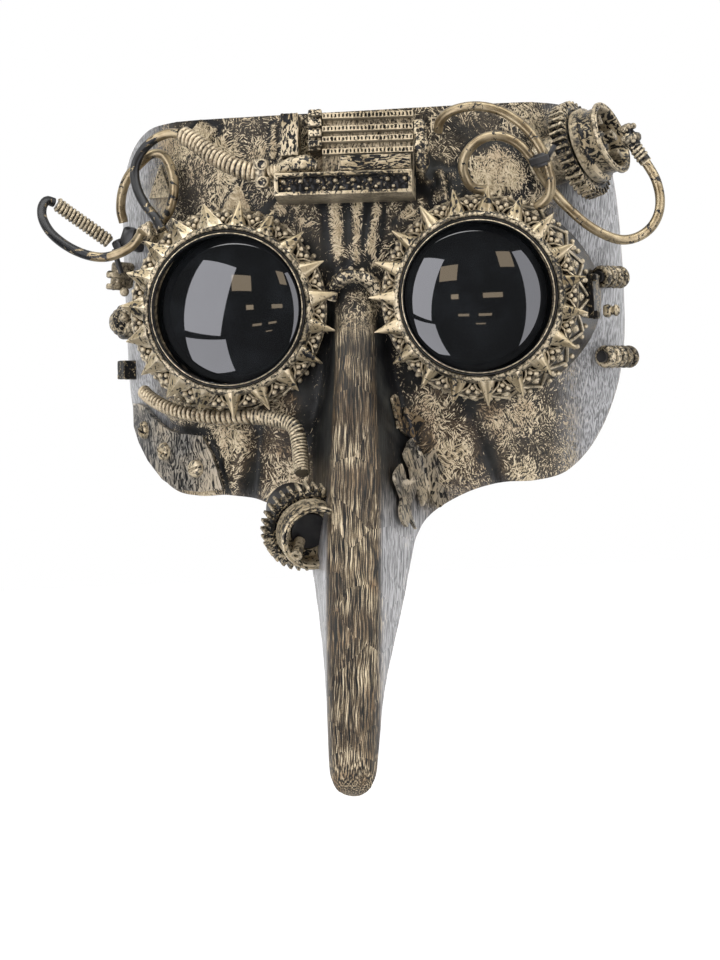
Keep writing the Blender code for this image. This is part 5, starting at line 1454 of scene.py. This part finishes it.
plates = {
    "cheekPlate": {"nodes": ["cheek_plate"], "lift": 0.7, "thick": 1.5, "slot": "grey_plate", "material": pewterPlate, "outline": [
        (-82.6, -29.6), (-80.2, -29.8), (-77.6, -31.0), (-74.6, -34.4), (-70.2, -38.4), (-66.6, -40.4),
        (-63.0, -41.4), (-55.4, -42.6), (-54.0, -45.6), (-52.4, -48.6), (-50.6, -54.6), (-48.9, -61.4),
        (-57.6, -61.8), (-66.0, -60.4), (-71.4, -56.8), (-77.0, -50.0), (-80.6, -43.6), (-82.8, -37.6)]},
    "leafUpper": {"nodes": ["leaf_plate_upper"], "lift": 0.5, "thick": 1.0, "slot": "grey_plate", "material": leafBronze, "outline": [
        (15.1, -36.0), (17.1, -37.6), (21.0, -40.0), (21.9, -41.2), (20.0, -43.7), (19.3, -45.5),
        (20.1, -48.2), (17.4, -48.6), (15.6, -46.8), (13.3, -44.4), (12.7, -42.0)]},
    "leafSliver": {"nodes": [], "lift": 0.5, "thick": 0.9, "slot": "grey_plate", "material": leafBronze, "outline": [
        (10.6, -33.2), (11.3, -31.8), (12.3, -32.6), (13.2, -37.0), (13.1, -41.6), (12.4, -43.6),
        (12.1, -40.7), (11.3, -37.0)]},
    "leafMain": {"nodes": ["leaf_plate_main", "leaf_plate_lower"], "lift": 1.5, "thick": 1.1,
                 "slot": "grey_plate", "material": leafPewter, "outline": [
        (15.8, -47.2), (16.5, -50.0), (16.7, -53.2), (17.1, -53.4), (17.1, -50.8), (17.9, -49.6), (19.0, -49.9),
        (20.0, -51.3), (20.9, -52.9), (22.2, -52.3), (23.0, -52.5), (24.6, -50.2), (25.6, -54.1), (27.8, -57.5),
        (25.9, -60.1), (25.4, -62.1), (27.2, -64.4), (28.5, -68.6), (25.8, -70.9), (24.6, -71.0), (23.4, -68.2),
        (22.2, -64.9), (20.9, -66.9), (20.0, -64.2), (19.6, -68.3), (18.4, -70.6), (17.6, -67.7), (17.2, -65.3),
        (16.6, -64.6), (16.2, -66.6), (15.1, -69.5), (15.1, -72.6), (16.5, -78.1), (14.9, -74.7), (14.2, -77.2),
        (13.3, -76.0), (12.6, -73.6), (12.4, -70.8), (12.8, -67.7), (11.8, -64.0), (10.9, -61.2), (10.8, -59.2),
        (11.5, -57.4), (12.5, -55.9), (13.4, -58.6), (13.6, -60.9), (14.7, -61.9), (15.2, -60.5), (14.8, -57.3),
        (13.6, -54.2), (13.2, -52.6), (14.6, -48.3)]}}


def surfaceSheet(outline, lift, thick, spacing=1.6):
    # a flat outline filled, sliced into strips so that it can bend, then laid on the face
    curve = bpy.data.curves.new("plate", "CURVE")
    curve.dimensions = "2D"
    curve.fill_mode = "BOTH"
    spline = curve.splines.new("POLY")
    spline.points.add(len(outline) - 1)
    for point, (x, z) in zip(spline.points, outline):
        point.co = (x * mm, z * mm, 0.0, 1.0)
    spline.use_cyclic_u = True
    sheet = bpy.data.objects.new("plate", curve)
    bpy.context.scene.collection.objects.link(sheet)
    makeActive(sheet)
    bpy.ops.object.convert(target="MESH")
    sheet = bpy.context.object
    bpy.ops.object.mode_set(mode="EDIT")
    bpy.ops.mesh.select_mode(type="VERT")
    bpy.ops.mesh.select_all(action="SELECT")
    bpy.ops.mesh.remove_doubles(threshold=0.002 * mm)
    for axis in (0, 1):
        low = min(point[axis] for point in outline)
        high = max(point[axis] for point in outline)
        cut = low + spacing / 2
        while cut < high:
            where = [0.0, 0.0, 0.0]
            where[axis] = cut * mm
            normal = [0.0, 0.0, 0.0]
            normal[axis] = 1.0
            bpy.ops.mesh.select_all(action="SELECT")
            bpy.ops.mesh.bisect(plane_co=where, plane_no=normal)
            cut += spacing
    bpy.ops.mesh.select_all(action="SELECT")
    bpy.ops.mesh.normals_make_consistent(inside=False)
    bpy.ops.object.mode_set(mode="OBJECT")
    for vertex in sheet.data.vertices:
        x, z = vertex.co.x / mm, vertex.co.y / mm
        spot = Vector((x, frontY(x, z), z)) + outward(x, z) * (lift + thick)
        vertex.co = spot * mm
    if sheet.data.polygons[0].normal.y > 0:
        sheet.data.flip_normals()
    wall = sheet.modifiers.new("wall", "SOLIDIFY")
    wall.thickness = thick * mm
    wall.offset = -1.0
    edge = sheet.modifiers.new("edge", "BEVEL")
    edge.width = 0.18 * mm
    edge.segments = 1
    edge.limit_method = "ANGLE"
    edge.angle_limit = math.radians(50)
    applyAll(sheet)
    return sheet


def makePlates():
    for name, facts in plates.items():
        sheet = surfaceSheet(facts["outline"], facts["lift"], facts["thick"])
        finishPiece(sheet, name, facts["material"], facts["nodes"])


rivets = {"spots": [(-77.8, -39.3), (-69.9, -47.2), (-58.1, -53.8)], "lift": 2.1, "turn": (12, 20, 75)}


def makeRivets():
    for number, ((x, z), turn) in enumerate(zip(rivets["spots"], rivets["turn"]), 1):
        normal = outward(x, z)
        foot = Vector((x, frontY(x, z), z)) + normal * rivets["lift"]
        place = placeAt(foot, normal, turn)
        head = spinShape([(0.0, 2.0), (1.6, 1.9), (2.6, 1.5), (3.1, 0.8), (3.2, 0.0), (0.0, 0.0)], place, 32, closed=False)
        slotCut = addBox((-0.45, -4.0, 1.2), (0.45, 4.0, 3.0), place, 0)
        cut = head.modifiers.new("slot", "BOOLEAN")
        cut.object = slotCut
        applyAll(head)
        bpy.data.objects.remove(slotCut, do_unlink=True)
        finishPiece(head, "cheekRivet_%d" % number, brassTrim, ["cheek_rivet_%d" % number])


makePlates()
makeRivets()
print("plates made")


# fittings at the temples

def makeCoilStub(tag, height, turns):
    route = [Vector((82.2, -32.4, height)) + Vector((0.44, 0.9, 0.0)).normalized() * d for d in (-1.0, 4.2 * turns)]
    rings = []
    axis = (route[1] - route[0]).normalized()
    for turn in range(turns):
        centre = route[0] + axis * (1.0 + 4.2 * (turn + 0.5))
        clearSelection()
        bpy.ops.mesh.primitive_torus_add(major_segments=28, minor_segments=12, major_radius=2.7 * mm,
                                         minor_radius=1.3 * mm)
        ring = bpy.context.object
        ring.data.transform(placeAt(centre, axis + Vector((0.05, 0.0, 0.12)))
                            @ Matrix.Diagonal((1.0, 1.0, 1.12, 1.0)))
        rings.append(ring)
    core = tubeAlong(smoothRoute(route, 2.0), 2.0, 12)
    finishPiece(core, "coilCore_" + tag, blackPlastic, smooth=60)
    finishPiece(joinPieces(rings), "coilStub_" + tag, rimBrass, ["coil_stub_" + tag], smooth=60)


def makeFittings():
    makeCoilStub("upper", 6.2, 4)
    makeCoilStub("lower", -21.6, 5)
    leverPlace = placeAt((84.0, -44.0, -6.2), (0.93, -0.14, 0.0))
    lever = spinShape([(0.0, 5.6), (1.1, 5.5), (1.9, 4.9), (2.1, 4.1), (1.5, 3.3), (1.5, 2.8), (2.1, 2.2), (2.3, 1.4),
                       (2.1, 0.4), (1.8, 0.0), (0.0, 0.0)], leverPlace, 28, closed=False)
    finishPiece(lever, "bracketLever", brassTrim, ["bracket_lever"])
    bracketPlace = placeAt((81.2, -44.0, 0.0), (0, 0, 1), -8.1)
    bracket = [addRough((-1.6, -5.8, -8.6), (0.6, 6.0, 6.2), bracketPlace, 0.3, 9),
               addRough((0.0, -6.0, 4.0), (2.0, -3.2, 6.4), bracketPlace, 0.25, 4),
               addRough((0.0, -6.0, -9.0), (2.0, -3.2, -6.2), bracketPlace, 0.25, 4),
               addRough((0.4, -6.2, -5.2), (2.2, -4.2, 5.4), bracketPlace, 0.25, 6)]
    bracket = joinPieces(bracket)
    seat = bracket.modifiers.new("seat", "BOOLEAN")
    seat.object = seatVolume
    applyAll(bracket)
    finishPiece(bracket, "templeBracket", laceBrass, ["temple_bracket"])
    fittingPlace = placeAt((-71.4, -56.4, 27.6), (-0.2, -0.93, 0.2))
    fitting = [spinShape([(0.0, 3.6), (2.4, 3.5), (3.0, 2.9), (2.6, 2.2), (3.5, 1.7), (3.6, 0.6), (2.8, 0.0),
                          (3.4, -1.0), (3.6, -6.0), (0.0, -6.0)], fittingPlace, 32, closed=False),
               addBead(1.5, fittingPlace @ Matrix.Translation(vec(1.8, 2.6, 1.6))),
               addBox((-4.2, -1.3, -1.4), (4.2, 1.3, 0.8), fittingPlace, 0.4)]
    finishPiece(joinPieces(fitting), "pipeFitting", brassTrim, ["goggle_pipe_fitting"])
    capPlace = placeAt((-86.4, -19.6, -0.6), (-0.86, -0.5, 0.0))
    cap = [spinShape([(0.0, 5.2), (2.6, 5.1), (3.2, 4.6), (3.4, 3.9), (4.3, 3.6), (4.7, 2.8), (4.9, 2.0), (5.9, 1.7),
                      (6.2, 0.9), (6.2, -5.0), (0.0, -5.0)], capPlace, 40, closed=False)]
    for k in range(5):
        spot = Vector((-84.2, -29.5, 9.6 - 3.0 * k)) + Vector((dice.uniform(-1, 1), dice.uniform(-1, 1), 0))
        cap.append(addBead(1.5 + dice.uniform(-0.3, 0.3), Matrix.Translation(spot * mm)))
    cap = joinPieces(cap)
    seat = cap.modifiers.new("seat", "BOOLEAN")
    seat.object = seatVolume
    applyAll(cap)
    finishPiece(cap, "templeCap", rimBrass, ["temple_cap"])
    port = [addBox((-2.6, -2.2, -4.0), (3.0, 8.0, 3.4), placeAt((-81.2, -34.6, 28.6), (0.35, 0.1, 1.0), -24), 1.6),
            addBox((-1.6, -3.0, -3.4), (2.2, 3.0, 2.2), placeAt((-84.6, -33.0, 25.8), (-0.4, 0.0, 1.0), -30), 1.0)]
    port = joinPieces(port)
    seat = port.modifiers.new("seat", "BOOLEAN")
    seat.object = seatVolume
    applyAll(port)
    finishPiece(port, "templePort", blackPlastic, ["temple_port_block"])
    clampPlace = placeAt((-86.8, -26.4, 15.8), (0.12, 0.0, 1.0), -38)
    clampParts = [addBox((-2.2, -2.4, -4.6), (2.4, 5.6, 4.6), clampPlace, 1.2)]
    for height in (-4.4, -0.4, 4.2):
        clampParts.append(spinShape([(1.7, 0.9), (2.7, 1.1), (3.1, 0.5), (3.1, -0.6), (2.6, -1.0), (1.7, -0.9)],
                                    clampPlace @ Matrix.Translation(vec(dice.uniform(-0.5, 0.5), -1.4, height)), 20))
    for k in range(7):
        clampParts.append(addBead(1.1 + dice.uniform(-0.3, 0.4), clampPlace @ Matrix.Translation(
            vec(dice.uniform(-2.4, 2.4), -3.2 + dice.uniform(-0.6, 0.8), -4.5 + 1.5 * k))))
    clampParts = joinPieces(clampParts)
    seat = clampParts.modifiers.new("seat", "BOOLEAN")
    seat.object = seatVolume
    applyAll(clampParts)
    finishPiece(clampParts, "templeClamp", laceBrass, ["temple_clamp"], smooth=50)
    boltPlace = placeAt((-86.2, -18.6, -17.6), (0.05, 0.0, 1.0), -56.0)
    bolt = [addRough((-3.0, -3.0, -3.3), (3.0, 4.0, 3.3), boltPlace, 0.3, 5),
            addRough((-2.1, -3.6, -2.4), (2.1, -2.0, 2.4), boltPlace, 0.2, 4)]
    bolt = joinPieces(bolt)
    seat = bolt.modifiers.new("seat", "BOOLEAN")
    seat.object = seatVolume
    applyAll(bolt)
    finishPiece(bolt, "squareBolt", laceBrass, ["square_bolt"])
    tail = tubeAlong(smoothRoute([(67.6, -71.6, 43.8), (69.6, -71.8, 46.6), (71.4, -71.4, 49.6)], 0.6), 0.8, 8)
    head = addBox((-2.0, -2.0, -2.2), (2.0, 1.4, 2.2), placeAt((66.2, -72.9, 44.6), (-0.25, 0.0, 1.0), 20), 0.5)
    finishPiece(joinPieces([tail, head]), "tieHead", blackPlastic)
    hose = tubeAlong(smoothRoute([(-86.6, -34.6, 24.4), (-85.6, -35.0, 20.0), (-84.6, -34.2, 16.0)], 0.8), 1.0, 10)
    finishPiece(hose, "thinHose", blackPlastic, smooth=60)


makeFittings()
print("fittings made")

# CAD pieces that stay, with a better finish
stays = {
    "radiator_block": barkBrass, "cable_tie": blackPlastic, "triangle_stud": rimBrass,
    "strap_lug_left": insidePlastic, "strap_lug_right": insidePlastic}
for name, material in stays.items():
    mesh = nodes[name].data
    mesh.materials.clear()
    mesh.materials.append(material)
bpy.data.objects.remove(seatVolume, do_unlink=True)

# studio: pale floor, even light, a camera at eye level with a slight tilt
studio = {"floorZ": -420.0, "target": (-0.19, -70.02, -60.31), "swing": 6.2, "tilt": 2.7, "distance": 1500.0,
          "focal": 165.44}


cool, warm = (0.93, 0.93, 1.0), (1.0, 0.80, 0.56)
lamps = [
    {"name": "windowUpper", "across": (-48, -21), "up": (-12, 34), "far": 0.9, "glow": 4.2, "tint": cool, "lean": -12},
    {"name": "windowLower", "across": (-55, -26), "up": (-46, -15), "far": 0.9, "glow": 3.6, "tint": cool, "lean": -8},
    {"name": "windowRight", "across": (42, 70), "up": (-40, 34), "far": 0.9, "glow": 2.8, "tint": cool, "lean": 6},
    {"name": "ceiling", "across": (-70, 70), "up": (58, 86), "far": 1.2, "glow": 4.2, "tint": (1, 1, 1)},
    {"name": "panelLeft", "across": (-17, -4), "up": (13, 24), "far": 1.5, "glow": 2.6, "tint": warm},
    {"name": "panelRight", "across": (25, 35), "up": (20, 32), "far": 1.5, "glow": 2.4, "tint": warm},
    {"name": "stripA", "across": (-8, -3), "up": (1, 4), "far": 1.7, "glow": 3.2, "tint": warm},
    {"name": "stripB", "across": (12, 24), "up": (1, 4), "far": 1.7, "glow": 2.6, "tint": warm},
    {"name": "stripC", "across": (-4, 3), "up": (-10, -8.4), "far": 1.7, "glow": 2.6, "tint": warm},
    {"name": "stripD", "across": (9, 17), "up": (-10, -8.4), "far": 1.7, "glow": 2.6, "tint": warm},
    {"name": "stripE", "across": (7, 13), "up": (-15.5, -14.6), "far": 1.7, "glow": 2.4, "tint": warm}]


def makeStudio():
    clearSelection()
    bpy.ops.mesh.primitive_plane_add(size=30.0, location=(0, 0, studio["floorZ"] * mm))
    floor = bpy.context.object
    floor.name = "studioFloor"
    material, tree, shader, spot = startMaterial("paleFloor")
    cloud = noiseNode(tree, spot, 2.0, 2.0, at=(-900, 200))
    tree.links.new(mixColour(tree, cloud.outputs["Fac"], (0.86, 0.86, 0.86), (0.90, 0.90, 0.90)),
                   shader.inputs["Base Color"])
    shader.inputs["Roughness"].default_value = 0.9
    shader.inputs["Emission Color"].default_value = (1.0, 1.0, 1.0, 1.0)
    shader.inputs["Emission Strength"].default_value = 0.75
    floor.data.materials.append(material)
    floor.visible_glossy = False

    cameraData = bpy.data.cameras.new("camera")
    camera = bpy.data.objects.new("camera", cameraData)
    bpy.context.scene.collection.objects.link(camera)
    swing, tilt = math.radians(studio["swing"]), math.radians(studio["tilt"])
    right = Vector((math.cos(swing), math.sin(swing), 0))
    up = Vector((0, 0, 1))
    back = Vector((math.sin(swing), -math.cos(swing), 0))
    cameraRight = math.cos(tilt) * right - math.sin(tilt) * up
    cameraUp = math.sin(tilt) * right + math.cos(tilt) * up
    turned = Matrix((cameraRight, cameraUp, back)).transposed().to_4x4()
    camera.matrix_world = Matrix.Translation(vec(*studio["target"]) + back * studio["distance"] * mm) @ turned
    cameraData.lens = studio["focal"]
    cameraData.sensor_width = 36.0
    cameraData.clip_start = 0.05
    bpy.context.scene.camera = camera

    world = bpy.data.worlds.new("studioAir")
    bpy.context.scene.world = world
    world.use_nodes = True
    tree = world.node_tree
    background = tree.nodes["Background"]
    path = addNode(tree, "ShaderNodeLightPath", (-700, 300))
    place = addNode(tree, "ShaderNodeTexCoord", (-900, 0))
    split = addNode(tree, "ShaderNodeSeparateXYZ", (-700, 0))
    tree.links.new(place.outputs["Generated"], split.inputs[0])
    around = rangeNode(tree, split.outputs["Y"], -0.15, 0.4, (-500, 0), 0.08, 0.85)
    seen = mixColour(tree, path.outputs["Is Camera Ray"], (0.5, 0.5, 0.5), (1.0, 1.0, 1.0), (-300, 200))
    tree.links.new(around, tree.nodes[seen.node.name].inputs[6])
    tree.links.new(seen, background.inputs["Color"])
    background.inputs["Strength"].default_value = 1.0

    for lamp in lamps:
        (low, high), (under, over) = lamp["across"], lamp["up"]
        sideways, upwards = math.radians((low + high) / 2), math.radians((under + over) / 2)
        toward = Vector((math.sin(sideways) * math.cos(upwards), -math.cos(sideways) * math.cos(upwards),
                         math.sin(upwards)))
        data = bpy.data.lights.new(lamp["name"], "AREA")
        data.shape = "RECTANGLE"
        data.size = 2 * lamp["far"] * math.tan(math.radians(high - low) / 2)
        data.size_y = 2 * lamp["far"] * math.tan(math.radians(over - under) / 2)
        data.energy = lamp["glow"] * math.pi * data.size * data.size_y
        data.color = lamp["tint"]
        light = bpy.data.objects.new(lamp["name"], data)
        bpy.context.scene.collection.objects.link(light)
        light.location = vec(0, -65, 0) + toward * lamp["far"]
        light.rotation_mode = "QUATERNION"
        facing = (-toward).to_track_quat("-Z", "Y")
        light.rotation_quaternion = facing @ Matrix.Rotation(math.radians(lamp.get("lean", 0)), 3, "Z").to_quaternion()
        light.visible_camera = False
    bpy.context.scene.view_settings.view_transform = "Standard"


makeStudio()
print("studio ready")
